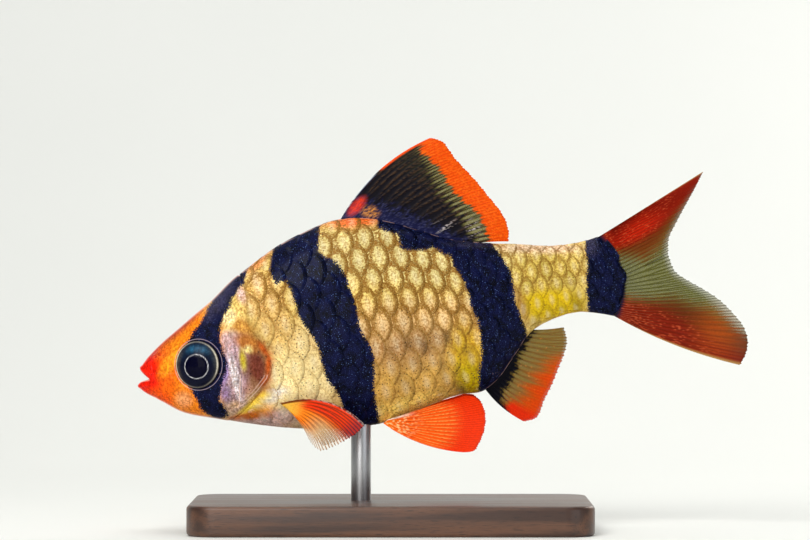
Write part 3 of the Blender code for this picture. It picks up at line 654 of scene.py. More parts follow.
def make_skin():
    deselect()
    bpy.ops.mesh.primitive_uv_sphere_add(segments=SKIN_SEGMENTS, ring_count=SKIN_RINGS, radius=MM)
    skin = bpy.context.object
    skin.name = "skin"
    ball = get_places(skin.data)
    ring = np.round(np.arccos(np.clip(ball[:, 2], -1, 1)) / math.pi * SKIN_RINGS) / SKIN_RINGS
    turn = np.arctan2(ball[:, 1], ball[:, 0]) / math.pi
    turn = np.where((ring == 0) | (ring == 1), 0.5, turn)
    rough_angle = angle_at(np.full_like(ring, ROUGH_PLACE), np.abs(turn))
    s = ring_distance(ring, rough_angle)
    angle = angle_at(s, np.abs(turn))
    s = ring_distance(ring, angle)
    angle = np.where(turn < 0, -angle, angle)
    s = np.maximum(s, 1e-4)
    plain = body_point(s, angle)
    outward = body_normal(s, angle)
    x, z = plain[:, 0], plain[:, 2]
    behind_gill = s - gill_at(np.arccos(np.clip(np.cos(angle), -1, 1)))
    depth = COAT_DEPTH * ease(-0.05, 0.12, behind_gill)
    groove = GROOVE_DEPTH * bump(behind_gill - GROOVE_PLACE, GROOVE_WIDTH)
    lift = relief(x, z, s) * ease(0.35, -0.05, behind_gill) - depth - groove
    places = plain + outward * lift[:, None]
    from_eye = eye_distance(x, z)
    away, front = gape(x, z)
    from_gape = away - GAPE_HALF * front
    at_mouth = ease(MOUTH_STARTS, MOUTH_FULL, x)
    lip_turn = np.clip(1 - from_gape / LIP_WIDTH, 0, 1) * at_mouth
    places -= outward * (LIP_RADIUS * (1 - np.sqrt(1 - lip_turn**2)))[:, None]
    open_here = ease(0.02, -0.1, from_gape) * at_mouth
    back_wall = MOUTH_CORNER[0] + MOUTH_BACK
    places[:, 0] += np.maximum(back_wall - places[:, 0], 0) * open_here
    closing = ease(TAIL_BASE - 1.5, TAIL_BASE + TAIL_ARC, s)
    places[:, 1] += (bend_at(s) - places[:, 1]) * closing * END_CLOSING
    places[ring == 1, 1] = bend_at(s[ring == 1])
    places[:, 1] = sink_round_eye(places, x, z, from_eye)
    put_places(skin.data, places)
    finish_surface(skin)
    mark_body(skin.data, x, z)
    set_values(skin.data, "mouth", open_here)
    set_values(skin.data, "socket", ease(0.05, -0.1, from_eye))
    set_values(skin.data, "from_eye", np.clip(from_eye, -1, 1))
    set_values(skin.data, "from_gape", np.where(x < LIP_LINE_BEHIND, np.clip(from_gape, -1, 1), 1))
    in_cover = np.clip(side_distance(x, z, COVER), -1, 2)
    set_values(skin.data, "in_cover", np.where(z < COVER_LINE_BELOW, in_cover, 2))
    skin.data.uv_layers[0].name = "OFBake"
    return skin


skin = make_skin()
print("skin:", len(skin.data.polygons), "faces")

# %% [markdown]
# The coat is about 190 scales a side. They lie in rows along the body, every second row half a scale behind,
# and both the scales and their rows get smaller towards the tail. One scale is modelled first: a small grid,
# pulled into a closed plate with a rounded rear edge. Each copy is laid on the body by its own places, with
# its front sunk in the skin and its rear edge standing over the scales behind it.

# %% One scale
SCALE_LENGTH = 1.45
SCALE_ARC = 1.2
SCALE_FRONT_HEIGHT, SCALE_TIP_HEIGHT = -0.022, 0.026
SCALE_DOME = 0.008
SCALE_THICK = 0.016
ROW_SPACING, COLUMN_SPACING = 2.25, 2.08
FIRST_COLUMN = 7.4


def scale_shape():
    """(places across a unit scale and whether each is on its upper face, faces)."""
    deselect()
    bpy.ops.mesh.primitive_grid_add(x_subdivisions=6, y_subdivisions=7, size=2)
    plate = bpy.context.object
    bpy.ops.object.mode_set(mode="EDIT")
    bpy.ops.mesh.select_all(action="SELECT")
    bpy.ops.mesh.extrude_region_move(TRANSFORM_OT_translate={"value": (0, 0, 1)})
    bpy.ops.mesh.select_all(action="DESELECT")
    bpy.ops.object.mode_set(mode="OBJECT")
    for face in plate.data.polygons:
        face.select = all(plate.data.vertices[i].co.z < 0.5 for i in face.vertices)
    bpy.ops.object.mode_set(mode="EDIT")
    bpy.ops.mesh.select_mode(type="FACE")
    bpy.ops.mesh.dissolve_faces()
    bpy.ops.mesh.select_all(action="SELECT")
    bpy.ops.mesh.normals_make_consistent(inside=False)
    bpy.ops.object.mode_set(mode="OBJECT")
    points = get_places(plate.data) * MM
    faces = [tuple(face.vertices) for face in plate.data.polygons]
    bpy.data.objects.remove(plate)
    return points[:, :2], points[:, 2] > 0.5, faces


scale_points, scale_upper, scale_faces = scale_shape()
print("one scale:", len(scale_faces), "faces")

# %% [markdown]
# The lattice comes next. shrink() tells how small the scales are at a distance along the body. A column
# starts one scale's length behind the last, and rows are counted from the middle of the flank, so that a
# row's distance from it shrinks as the scales do. Scales run out at the back and the belly, and behind the
# gill covers they start under the covers' edge. On the belly they stand only half as high as on the flank.
# Each point keeps its distance from the scale's rear edge, its place in the lens of bright colour in the
# scale's middle, and the scale's own tone.


# %% The coat
COAT_SEED = 7
JITTER = 0.03
SHRINK_SHARE, SHRINK_START, SHRINK_LENGTH = 0.42, 27.0, 21.0
SHARE_MARGIN = 0.04
FIRST_TIP, LAST_TIP = 0.7, 0.5
BEHIND_GILL, PAST_END = 0.12, 0.06
BELLY_FROM, BELLY_TO, BELLY_LESS = 0.5, 0.7, 0.5
LENS_PLACE, LENS_LENGTH, LENS_HEIGHT = 0.48, 0.36, 0.72
UV_START, UV_LENGTH = 6, 45


def shrink(s):
    past = np.clip((np.asarray(s, float) - SHRINK_START) / SHRINK_LENGTH, 0, 1)
    return 1 - SHRINK_SHARE * past**0.95


def lattice():
    """(place along the axis, row) of every scale's tip on one side."""
    tips, s = [], FIRST_COLUMN
    while s < TAIL_BASE + TAIL_ARC + 1.5:
        pitch = COLUMN_SPACING * float(shrink(s))
        tips += [(s, row) for row in range(-8, 9) if row % 2 == 0]
        tips += [(s + pitch / 2, row) for row in range(-8, 9) if row % 2]
        s += pitch
    return tips


def run_to_share(s, t):
    """The share of the half girth of a place t millimetres below the middle of the flank."""
    widest_run = np.interp(s, table_places, widest_runs)
    return (widest_run + t) / half_girth_at(s)


def make_coat(side, word):
    draw = random.Random(COAT_SEED)
    points, faces, uvs, values = [], [], [], []
    count = 0
    for tip, row in lattice():
        size = float(shrink(tip))
        pitch, height = COLUMN_SPACING * size, ROW_SPACING * size
        share = float(run_to_share(tip, row * height))
        jitter, tilt = draw.uniform(-JITTER, JITTER), draw.uniform(-JITTER, JITTER)
        tone = draw.uniform(-1, 1)
        if not -SHARE_MARGIN < share < 1 + SHARE_MARGIN:
            continue
        middle = float(angle_at(np.array(tip), np.array(share)))
        start, end = float(gill_at(middle)), float(body_end(middle))
        if tip < start + FIRST_TIP or tip > end + LAST_TIP * pitch:
            continue
        v = scale_points[:, 1]
        rear = -SCALE_ARC * (1 - np.sqrt(np.maximum(1 - (0.97 * v) ** 2, 0)))
        a = -SCALE_LENGTH + (rear + SCALE_LENGTH) * (scale_points[:, 0] + 1) / 2
        s = tip + (a + jitter + tilt * v) * pitch
        shares = np.clip(run_to_share(s, row * ROW_SPACING * shrink(s) + v * height), 0.002, 0.998)
        angle = angle_at(s, shares)
        s = np.clip(s, gill_at(angle) + BEHIND_GILL, body_end(angle) + PAST_END)
        angle = angle_at(s, shares)
        lift = SCALE_TIP_HEIGHT + (SCALE_FRONT_HEIGHT - SCALE_TIP_HEIGHT) * -a / SCALE_LENGTH
        lift = lift * (1 - BELLY_LESS * ease(BELLY_FROM, BELLY_TO, shares))
        lift = lift + SCALE_DOME * (1 - v**2) - np.where(scale_upper, 0, SCALE_THICK) - COAT_DEPTH
        plain = body_point(s, -side * angle)
        place = plain + body_normal(s, -side * angle) * lift[:, None]
        points.append(place)
        lens = np.abs(a + LENS_PLACE) / LENS_LENGTH + (np.abs(v) / LENS_HEIGHT) ** 1.4
        values.append(np.stack([
            plain[:, 0], plain[:, 2], (rear - a) * pitch, lens, np.full(len(v), tone),
        ], axis=1))
        u0, v0 = (tip - UV_START) / UV_LENGTH, share
        width, tall = pitch / UV_LENGTH, height / float(half_girth_at(tip))
        grow = np.where(scale_upper, 1.0, 1.05)
        uv = np.stack([
            u0 + (0.7 * (a / SCALE_LENGTH + 0.5) * grow - 0.1) * width, v0 + 0.44 * v * grow * tall,
        ], axis=1)
        for face in scale_faces:
            faces.append([i + count for i in face])
            if len(face) > 4:
                small = np.array([u0 + 0.38 * width, v0]) + (uv[list(face)] - (u0, v0)) * (0.2, 0.4)
                uvs.append(small)
            else:
                uvs.append(uv[list(face)])
        count += len(v)
    mesh = bpy.data.meshes.new("scales_" + word)
    mesh.from_pydata((np.concatenate(points) * MM).tolist(), [], faces)
    values = np.concatenate(values)
    mark_body(mesh, values[:, 0], values[:, 1])
    for column, name in ((2, "edge"), (3, "lens"), (4, "tone")):
        set_values(mesh, name, values[:, column])
    layer = mesh.uv_layers.new(name="OFBake")
    layer.data.foreach_set("uv", np.concatenate(uvs).astype(np.float32).ravel())
    coat = bpy.data.objects.new("scales_" + word, mesh)
    bpy.context.collection.objects.link(coat)
    if side < 0:
        mesh.flip_normals()
    mesh.shade_smooth()
    print(coat.name, len(points), "scales,", len(mesh.polygons), "faces")
    return coat


coats = [make_coat(-1, "left"), make_coat(1, "right")]

# %% [markdown]
# Each eye is a shallow dome, a little fuller than an ellipsoid, with its pupil standing out. It starts as a
# ball with many rings round its own axis, so that the iris can be painted in thin rings on its points. All
# its colours are a function of two things: how far a point is from the pupil's middle, and in which
# direction.

# %% Eyes
PUPIL_PLACE = (0.12, -0.18)
PUPIL_RADIUS = 1.19
PUPIL_BULGE = 0.1
DOME_POWER = 2.7


def eye_paint(x, z):
    """Colour of the eye at places from its centre in the side view."""
    r = np.hypot(x / EYE_RADII[0], z / EYE_RADII[2]) * EYE_RADII[2]
    a = np.arctan2(z, x)
    pupil_r = np.hypot(x - PUPIL_PLACE[0], z - PUPIL_PLACE[1])
    wave = np.sin(a * 7 + 1) * 0.5 + np.sin(a * 17 + 2) * 0.3 + np.sin(a * 41) * 0.2
    colour = np.tile(linear(13, 16, 36), (len(x), 1))

    def lay(shade, share):
        colour[:] += (linear(*shade) - colour) * np.clip(share, 0, 1)[:, None]

    top = np.exp(-((a - 1.5) / 0.75) ** 2)
    lay((44, 108, 146), 0.85 * top * bump(pupil_r - 1.8, 0.34) * (0.6 + 0.4 * wave))
    rear = np.exp(-((a - 0.05) / 0.8) ** 2)
    lay((100, 100, 92), 0.42 * rear * ease(1.5, 2.1, pupil_r) * (0.7 + 0.3 * wave))
    front = np.exp(-((np.abs(a) - math.pi) / 0.7) ** 2)
    lay((126, 120, 104), 0.45 * front * ease(1.6, 2.2, pupil_r) * (0.7 + 0.3 * wave))
    lay((238, 238, 242), 0.95 * bump(pupil_r - PUPIL_RADIUS, 0.034) * (0.85 + 0.15 * wave))
    # Pale ring near the dome's edge, brightest at its front and rear: the eye's pale rim with painted highlight
    # crescents.
    sides = np.maximum(np.exp(-((a - 0.15) / 0.75) ** 2), np.exp(-((np.abs(a) - 2.9) / 0.7) ** 2))
    lay((238, 230, 206), (0.15 + 0.85 * sides) * bump(r - 2.26, 0.06))
    lay((22, 14, 24), ease(2.32, 2.4, r))
    lay((0, 0, 24), ease(PUPIL_RADIUS - 0.01, PUPIL_RADIUS - 0.06, pupil_r))
    return colour


def make_eye(side, word):
    deselect()
    bpy.ops.mesh.primitive_uv_sphere_add(segments=128, ring_count=96, radius=MM)
    eye = bpy.context.object
    eye.name = "eye_dome_" + word
    ball = get_places(eye.data)
    x, z = ball[:, 0] * EYE_RADII[0], ball[:, 1] * EYE_RADII[2]
    around = np.clip(np.hypot(ball[:, 0], ball[:, 1]), 0, 1)
    height = (1 - around**DOME_POWER) ** 0.5 * np.sign(ball[:, 2])
    pupil_r = np.hypot(x - PUPIL_PLACE[0], z - PUPIL_PLACE[1])
    bulge = PUPIL_BULGE * ease(PUPIL_RADIUS + 0.25, PUPIL_RADIUS - 0.35, pupil_r)
    out = height * EYE_RADII[1] + np.where(ball[:, 2] > 0, bulge, 0)
    turn = EYE_TURN
    places = np.stack([
        EYE_CENTRE[0] + x * math.cos(turn) - out * math.sin(turn),
        side * (EYE_MIDDLE + out * math.cos(turn) + x * math.sin(turn)),
        EYE_CENTRE[1] + z,
    ], axis=1)
    put_places(eye.data, places)
    finish_surface(eye)
    eye.data.uv_layers[0].name = "OFBake"
    set_values(eye.data, "paint", eye_paint(x, z))
    return eye


eyes = [make_eye(-1, "left"), make_eye(1, "right")]
print("eyes:", [len(eye.data.polygons) for eye in eyes], "faces")

# %% [markdown]
# A fin is a thin closed sheet between its root and its edge. Across it run the rays, and each ray splits in
# two on its way out, in some fins twice. fin_sheet() finds how near every point is to a ray's middle, and makes
# the sheet thicker there. Towards the edge the membrane between rays ends a little sooner, so the edge is
# finely frayed. A fin's colours and how clear it is are told by a paint function of its own.

# %% Fin sheets
FIN_ROWS = 64
COLUMNS_PER_RAY = 8
RAY_ROOT_THICK, RAY_TIP_THICK, MEMBRANE_THICK = 0.4, 0.12, 0.07
FRAY, RAGGED = 0.08, 0.12
JOINT_SPACING, JOINT_DEPTH = 0.3, 0.12
FIN_WAVE = 0.1


def split(d, v, forks):
    """How near a point is to a ray's branches: d is its distance from the ray in ray spacings."""
    first = 0.25 * (ease(0.05, 0.5, v) if forks == 2 else ease(0.25, 0.85, v))
    second = 0.125 * ease(0.35, 0.85, v) * (forks == 2)
    return np.abs(np.abs(np.abs(d) - first) - second)


def wobble(across, rays, seed):
    """A small ragged number for each place across a fin, from -1 to 1, alike on both sides of the fish."""
    t = across * (rays - 1)
    coarse, middle, fine = np.sin(t * 6.3 + seed), np.sin(t * 17.1 + 2.2 * seed), np.sin(t * 43.7 + seed)
    return (coarse + middle * 0.7 + fine * 0.5) / 2.2


def grit(x, z, size):
    """A number from 0 to 1 for every small square of the side view, as if drawn by lot."""
    return np.abs(np.sin(np.floor(x / size) * 127.1 + np.floor(z / size) * 311.7) * 43758.5453) % 1


def fin_sheet(name, root, edge, rays, forks, bow, sway, painter, spread_root=1.0):
    columns = (rays - 1) * COLUMNS_PER_RAY * forks + 1
    across = np.linspace(0, 1, columns)
    along = np.linspace(0, 1, FIN_ROWS)
    start, end = root(across), edge(across)
    chord = end - start
    length = np.linalg.norm(chord, axis=1)
    outward = np.stack([-chord[:, 1], chord[:, 0]], axis=1) / length[:, None]
    t = across * (rays - 1)
    d = t - np.round(t)
    at_tip = bump(split(d, np.ones(columns), forks), 0.07)
    notch = FRAY * (1 - at_tip) + RAGGED * (0.5 + 0.5 * wobble(across, rays, 3.0))
    v = along[None, :] * (1 - notch / length)[:, None]
    curve = (bow[0] + (bow[1] - bow[0]) * across)[:, None] * 4 * v * (1 - v)
    seen = start[:, None] + chord[:, None] * v[..., None] + outward[:, None] * curve[..., None]
    near_ray = split(d[:, None], v, forks)
    first_ray = bump(across[:, None] * (rays - 1), 0.25)
    ray = np.maximum(bump(near_ray, 0.12 - 0.03 * forks * v), first_ray)
    thick = RAY_ROOT_THICK + (RAY_TIP_THICK - RAY_ROOT_THICK) * v**0.7
    base = MEMBRANE_THICK + (spread_root * 0.5 - MEMBRANE_THICK) * ease(0.16, 0.0, v)
    joints = bump((v * length[:, None] / JOINT_SPACING) % 1 - 0.5, 0.16)
    joints = 1 - JOINT_DEPTH * joints * ease(0.1, 0.3, v)
    half = (base + np.maximum(thick - base, 0) * ray * joints) / 2
    middle = sway(seen[..., 0], seen[..., 1], across[:, None], v)
    middle = middle + FIN_WAVE * np.sin(t[:, None] * 0.9 + v * 3.5) * ease(0.2, 1.0, v)
    near = np.stack([seen[..., 0], middle - half, seen[..., 1]], axis=-1).reshape(-1, 3)
    far = np.stack([seen[..., 0], middle + half, seen[..., 1]], axis=-1).reshape(-1, 3)
    count = columns * FIN_ROWS
    grid = np.arange(count).reshape(columns, FIN_ROWS)
    quads = np.stack([grid[:-1, :-1], grid[1:, :-1], grid[1:, 1:], grid[:-1, 1:]], axis=-1).reshape(-1, 4)
    border = np.concatenate([grid[:-1, 0], grid[-1, :-1], grid[:0:-1, -1], grid[0, :0:-1]])
    ahead = np.roll(border, -1)
    rim = np.stack([ahead, border, border + count, ahead + count], axis=-1)
    faces = np.concatenate([quads, quads[:, ::-1] + count, rim])
    mesh = bpy.data.meshes.new(name)
    mesh.from_pydata((np.concatenate([near, far]) * MM).tolist(), [], faces.tolist())
    u, w = np.repeat(across, FIN_ROWS), np.tile(along, columns)
    flat = np.concatenate([np.stack([0.01 + 0.48 * u, w], 1), np.stack([0.51 + 0.48 * u, w], 1)])
    loops = flat[faces.ravel()].reshape(-1, 4, 2)
    strip = loops[-len(rim):]
    strip[:, 2:] = strip[:, :2][:, ::-1] + (0.005, 0.01)
    layer = mesh.uv_layers.new(name="OFBake")
    layer.data.foreach_set("uv", np.clip(loops, 0, 1).astype(np.float32).ravel())
    x, z = seen[..., 0].ravel(), seen[..., 1].ravel()
    full = np.broadcast_to
    colour, alpha = painter(x, z, full(across[:, None], v.shape).ravel(), v.ravel(), ray.ravel(),
                            full(t[:, None], v.shape).ravel())
    set_values(mesh, "paint", np.concatenate([colour, colour]))
    set_values(mesh, "cover", np.concatenate([alpha, alpha]))
    piece = bpy.data.objects.new(name, mesh)
    bpy.context.collection.objects.link(piece)
    finish_surface(piece)
    return piece


# %% [markdown]
# The roots and edges of the fins are those of the solids. The dorsal and anal fins grow from the body's
# middle, the tail fin's lobes from the round end of the stalk, and the paired fins beside the belly, from
# where they spread outwards. Each root is sunk a little way into the skin, where the solids keep a gap.

# %% Roots and edges
DORSAL_ROOT, ANAL_ROOT = (22.9, 35.2), (33.9, 39.6)
DORSAL_EDGE = (
    (-1.0, 39.25), (0.0, 39.0), (1.5, 37.2), (3.8, 34.7), (5.0, 33.2), (5.9, 32.1), (6.55, 31.0),
    (6.85, 29.9), (6.86, 28.85),
)
ANAL_EDGE = (
    (8.4, 10.8), (9.5, 11.1), (10.5, 13.1), (11.2, 14.5), (11.8, 16.0), (12.4, 17.5), (12.7, 18.9),
    (12.4, 20.3),
)
TAIL_FORK = (22.9, 27.6)
UPPER_LOBE = ((26.6, 36.0), (25.5, 33.9), (24.6, 32.35), (23.65, 30.6), (23.0, 29.3), TAIL_FORK)
LOWER_LOBE = (
    (29.9, 16.5), (30.55, 17.8), (30.7, 19.1), (30.35, 20.3), (29.3, 21.7), (27.9, 23.1), (26.4, 24.1),
    (25.0, 24.9), (23.6, 25.9), TAIL_FORK,
)
PECTORAL_ROOT = ((-15.98, 12.75), (-15.3, 12.2))
PECTORAL_EDGE = (
    (-7.45, 10.65), (-8.3, 9.8), (-9.45, 9.1), (-10.9, 8.4), (-11.8, 8.1), (-12.7, 8.75), (-13.1, 9.3),
)
PELVIC_ROOT = ((-5.75, 10.7), (-5.4, 11.05))
PELVIC_EDGE = (
    (2.3, 7.95), (3.3, 8.1), (3.95, 9.1), (4.4, 10.4), (4.45, 11.7), (4.1, 12.8), (3.4, 13.45), (2.6, 13.6),
)
PECTORAL_SPREAD, PELVIC_SPREAD = (1.9, 0.6), (2.6, -0.7)
ROOT_GAP, ROOT_HALF = 0.3, 0.45
ROOT_SINK = 0.35


def ridge_root(first, last, angle):
    def at(share):
        s = first + (last - first) * share
        angles = np.full_like(s, angle)
        return (body_point(s, angles) - body_normal(s, angles) * ROOT_SINK)[:, [0, 2]]

    return at


def tail_root(upper):
    """The round end of the stalk, from its upper or its lower edge to the middle."""
    def at(share):
        angle = math.pi / 2 * (share if upper else 2 - share)
        s = body_end(angle) - ROOT_SINK
        widest, up, down = section(np.full_like(s, TAIL_BASE))
        h = widest + np.where(np.cos(angle) > 0, up, down) * np.cos(angle) * 0.97
        return np.stack(to_level(s, h), axis=-1)

    return at


def middle_sway(x, z, across, along):
    return bend_at(to_axis(x, z)[0])


def tail_sway(x, z, across, along):
    s, h = to_axis(x, z)
    widest = section(np.full_like(s, TAIL_BASE))[0]
    past = np.maximum(s - TAIL_BASE - TAIL_ARC, 0)
    return bend_at(s) + 0.028 * past * (h - widest) * np.clip(past / 3, 0, 1)


def paired_sway(side, root, spread):
    near_root = max(float(side_at(*place)) for place in root) + ROOT_GAP + ROOT_HALF

    def at(x, z, across, along):
        out = near_root + (spread[0] + spread[1] * across) * along
        return side * (out - (ROOT_GAP + ROOT_HALF + 0.15) * ease(0.14, 0.0, along))

    return at


# %% [markdown]
# Each fin has its own colours. The dorsal fin is black for two thirds of its height, olive and partly clear
# between the ends of the rays, and red along its edge. The tail fin is red outside and olive in the middle.
# The anal fin is black at its base, amber, then red. Pelvic and pectoral fins are red and orange. A painter
# lays the colours over one another, and the dark ones reach further out along the rays.

# %% Fin colours
DORSAL_RED = (
    (-1.8, 38.75), (-2.2, 38.1), (-1.0, 37.0), (0.0, 36.0), (0.8, 34.6), (1.5, 33.65), (2.5, 32.7),
    (3.7, 31.8), (4.25, 30.7), (4.7, 29.5), (4.95, 28.4), (9.0, 28.0), (9.0, 40.0), (-1.5, 41.0),
)
DORSAL_DARK = (
    (-2.4, 38.8), (-2.1, 37.9), (-1.15, 36.3), (-0.57, 34.9), (0.23, 33.7), (1.4, 32.5), (2.3, 31.4),
    (2.9, 30.4), (3.7, 29.5), (4.6, 28.6), (4.6, 26.0), (-12.0, 26.0), (-12.0, 32.0), (-5.0, 41.0),
)
CAUDAL_RED = (
    (16.0, 28.6), (17.2, 27.7), (19.4, 28.6), (21.8, 29.9),
    (23.9, 31.9), (26.6, 34.9), (26.0, 38.0), (15.0, 33.0),
)
CAUDAL_BROWN = (
    (16.0, 28.6), (17.3, 27.4), (20.5, 27.0), (22.2, 28.4),
    (23.8, 31.0), (26.6, 34.9), (26.0, 38.0), (15.0, 33.0),
)
CAUDAL_LOW = (
    (17.5, 23.6), (18.9, 23.1), (23.3, 23.3), (26.6, 22.2),
    (29.0, 20.6), (31.5, 19.4), (32.0, 14.0), (15.0, 20.0),
)
CAUDAL_LOW_RED = (
    (17.0, 23.2), (18.9, 23.2), (21.5, 22.5), (24.4, 21.1),
    (27.0, 19.4), (30.5, 17.5), (31.0, 14.0), (15.0, 19.0),
)
ANAL_DARK = (
    (9.4, 19.8), (8.7, 18.8), (8.5, 18.0), (7.9, 17.35), (7.7, 15.9), (7.3, 15.4), (6.95, 14.5),
    (6.4, 13.9), (6.2, 13.1), (6.8, 11.8), (6.0, 11.4), (3.0, 13.0), (3.5, 17.0), (9.0, 22.0),
)
ANAL_RED = (
    (13.2, 18.6), (11.9, 17.4), (10.6, 15.9), (9.6, 14.8), (8.7, 13.5), (8.0, 12.4), (7.0, 12.2),
    (6.6, 11.7), (8.0, 10.0), (12.0, 10.0), (14.0, 18.0),
)


class Coat:
    """Colours and cover of a fin, laid over one another."""

    def __init__(self, count, shade, cover):
        self.colour = np.tile(linear(*shade), (count, 1))
        self.cover = np.full(count, float(cover))

    def lay(self, shade, share, cover=None):
        share = np.clip(share, 0, 1)
        self.colour += (linear(*shade) - self.colour) * share[:, None]
        if cover is not None:
            self.cover += (cover - self.cover) * share


def inside_share(x, z, outline, soft, shift=0.0):
    return ease(-soft, soft, side_distance(x, z, outline) + shift)


def paint_dorsal(x, z, across, along, ray, t):
    rough = wobble(across, 11, 1.0)
    lot, fine = grit(x, z, 0.17), grit(x, z, 0.11)
    coat = Coat(len(x), (122, 114, 46), 0.7)
    coat.lay((36, 32, 20), 0.9 * ray, 0.95)
    dark = inside_share(x, z, DORSAL_DARK, 0.4, 0.25 * rough + 1.2 * (ray - 0.35))
    coat.lay((14, 12, 20), dark, 1.0)
    lines = ray * ease(0.15, 0.4, along) * (fine > 0.45)
    coat.lay((104, 76, 46), 0.32 * dark * lines)
    coat.lay((60, 62, 34), 0.4 * dark * (1 - ray) * ease(0.5, 0.8, along))
    red = inside_share(x, z, DORSAL_RED, 0.1, 0.3 * rough + 0.25 * (0.5 - ray))
    coat.lay((228, 80, 0), red, 1.0)
    coat.lay((196, 42, 0), 0.5 * red * ray)
    coat.lay((250, 124, 24), 0.4 * red * (fine > 0.75))
    lead = ease(0.03, 0.012, across)
    coat.lay((232, 76, 16), lead * ease(0.5, 0.56, along), 1.0)
    coat.lay((22, 22, 50), lead * ease(0.5, 0.44, along), 1.0)
    coat.lay((214, 220, 226), ease(0.012, 0.003, across) * ease(0.5, 0.4, along), 1.0)
    sheath = ease(0.24, 0.12, along + 0.16 * (lot - 0.5))
    coat.lay((20, 22, 58), sheath, 1.0)
    coat.lay((84, 86, 122), 0.35 * sheath * (fine > 0.8))
    front = patch_share(x, z, (-7.1, 31.8), (1.0, 0.7), -12, 0.7)
    coat.lay((150, 96, 56), 1.3 * front * (lot > 0.4), 1.0)
    coat.lay((226, 150, 60), 0.7 * front * (fine > 0.75))
    coat.lay((226, 60, 34), patch_share(x, z, (-8.4, 32.4), (1.3, 0.6), 47, 0.6) * (0.5 + 0.5 * lot), 1.0)
    glint = patch_share(x, z, (0.2, 30.4), (1.4, 0.6), 18, 0.8)
    glint = glint + patch_share(x, z, (3.2, 30.2), (0.8, 1.0), 0, 0.8)
    coat.lay((226, 214, 214), 0.6 * glint * (ray > 0.6) * (fine > 0.55))
    return coat.colour, coat.cover


def paint_tail(x, z, across, along, ray, t):
    rough = np.sin(t * 6.3) * 0.5 + np.sin(t * 15.7 + 1) * 0.5
    fine = grit(x, z, 0.09)
    reach = 0.3 * rough + 0.5 * (ray - 0.5)
    coat = Coat(len(x), (104, 104, 26), 0.72)
    coat.lay((60, 58, 10), 0.9 * ray, 0.95)
    brown, low_brown = (inside_share(x, z, zone, 0.9, reach) for zone in (CAUDAL_BROWN, CAUDAL_LOW))
    coat.lay((112, 52, 8), brown, 0.96)
    coat.lay((96, 44, 6), low_brown, 0.96)
    red = inside_share(x, z, CAUDAL_RED, 0.5, reach)
    low_red = inside_share(x, z, CAUDAL_LOW_RED, 0.8, reach)
    coat.lay((140, 22, 2), red, 1.0)
    coat.lay((122, 26, 3), low_red, 1.0)
    coat.lay((196, 34, 4), 0.8 * patch_share(x, z, (19.9, 30.2), (3.2, 1.1), 33, 0.8), 1.0)
    streaks = 0.75 + 0.25 * np.sin(t * 6.3)
    coat.lay((188, 80, 12), 0.6 * streaks * patch_share(x, z, (27.6, 19.6), (2.6, 3.0), 20, 1.0), 1.0)
    coat.lay((84, 20, 2), 0.6 * np.maximum(red, low_red) * ray)
    # Painted glints: sparse pale dots on the red parts, thinning out towards the edge.
    coat.lay((232, 104, 60), 0.45 * np.maximum(red, low_red) * (fine > 0.92) * ease(0.9, 0.6, along))
    coat.lay((226, 128, 92), 0.5 * low_red * (ray > 0.5) * ease(0.4, 0.1, along))
    coat.lay((190, 150, 84), 0.75 * ease(0.03, 0.0, across), 1.0)
    coloured = np.maximum(np.maximum(red, low_red), np.maximum(brown, low_brown))
    coat.cover = coat.cover * (1 - ease(0.82, 1.0, along) * (0.25 + 0.3 * (1 - ray)) * (1 - 0.85 * coloured))
    coat.lay((18, 17, 40), ease(0.05, 0.015, along + 0.02 * rough), 1.0)
    return coat.colour, coat.cover


def paint_anal(x, z, across, along, ray, t):
    rough = wobble(across, 9, 2.0)
    lot = grit(x, z, 0.15)
    coat = Coat(len(x), (122, 100, 20), 0.8)
    coat.lay((116, 62, 14), 0.7 * ray, 0.95)
    low = ease(0.85, 0.6, across)
    streaks = 0.5 * rough + 0.25 * np.sin(t * 2.1 + 1)
    coat.lay((190, 84, 5), 0.85 * low * inside_share(x, z, ANAL_RED, 2.4, streaks), 0.92)
    coat.lay((210, 66, 3), low * inside_share(x, z, ANAL_RED, 1.3, streaks), 1.0)
    coat.lay((184, 46, 3), 0.5 * low * inside_share(x, z, ANAL_RED, 1.3, streaks) * ray)
    coat.lay((228, 136, 50), 0.35 * (lot > 0.98) * ease(0.9, 0.6, along))
    coat.lay((214, 42, 4), ease(0.2, 0.1, across) * ease(0.42, 0.55, along), 1.0)
    ragged = 0.25 * rough + 0.3 * (ray - 0.4) + 0.35 * (lot - 0.5)
    coat.lay((8, 8, 18), inside_share(x, z, ANAL_DARK, 0.25, ragged), 1.0)
    coat.cover = coat.cover * (1 - 0.5 * ease(0.88, 1.0, along) * (1 - ray))
    return coat.colour, coat.cover


def paint_pelvic(x, z, across, along, ray, t):
    fine = grit(x, z, 0.14)
    coat = Coat(len(x), (244, 84, 0), 1.0)
    coat.lay((236, 52, 0), ease(0.55, 0.85, along))
    coat.lay((200, 40, 0), 0.6 * ray)
    # Pale golden lines between the rays: partly the fin's own colour, partly painted glints.
    between = bump((t * 2) % 1 - 0.5, 0.17) * ease(0.05, 0.2, along) * ease(0.8, 0.6, along)
    coat.lay((255, 180, 84), 0.85 * between * (0.25 + 0.75 * fine))
    coat.lay((240, 116, 24), ease(0.3, 0.05, along) * 0.75)
    # Painted glints: pale sparkles near the root.
    coat.lay((255, 214, 150), 0.8 * ease(0.4, 0.15, along) * (fine > 0.72))
    # Painted highlight: near-white at the root's upper edge.
    coat.lay((252, 240, 222), 0.9 * ease(0.78, 0.92, across) * ease(0.36, 0.1, along))
    coat.cover = coat.cover * (1 - 0.35 * ease(0.95, 1.0, along) * (1 - ray))
    return coat.colour, coat.cover


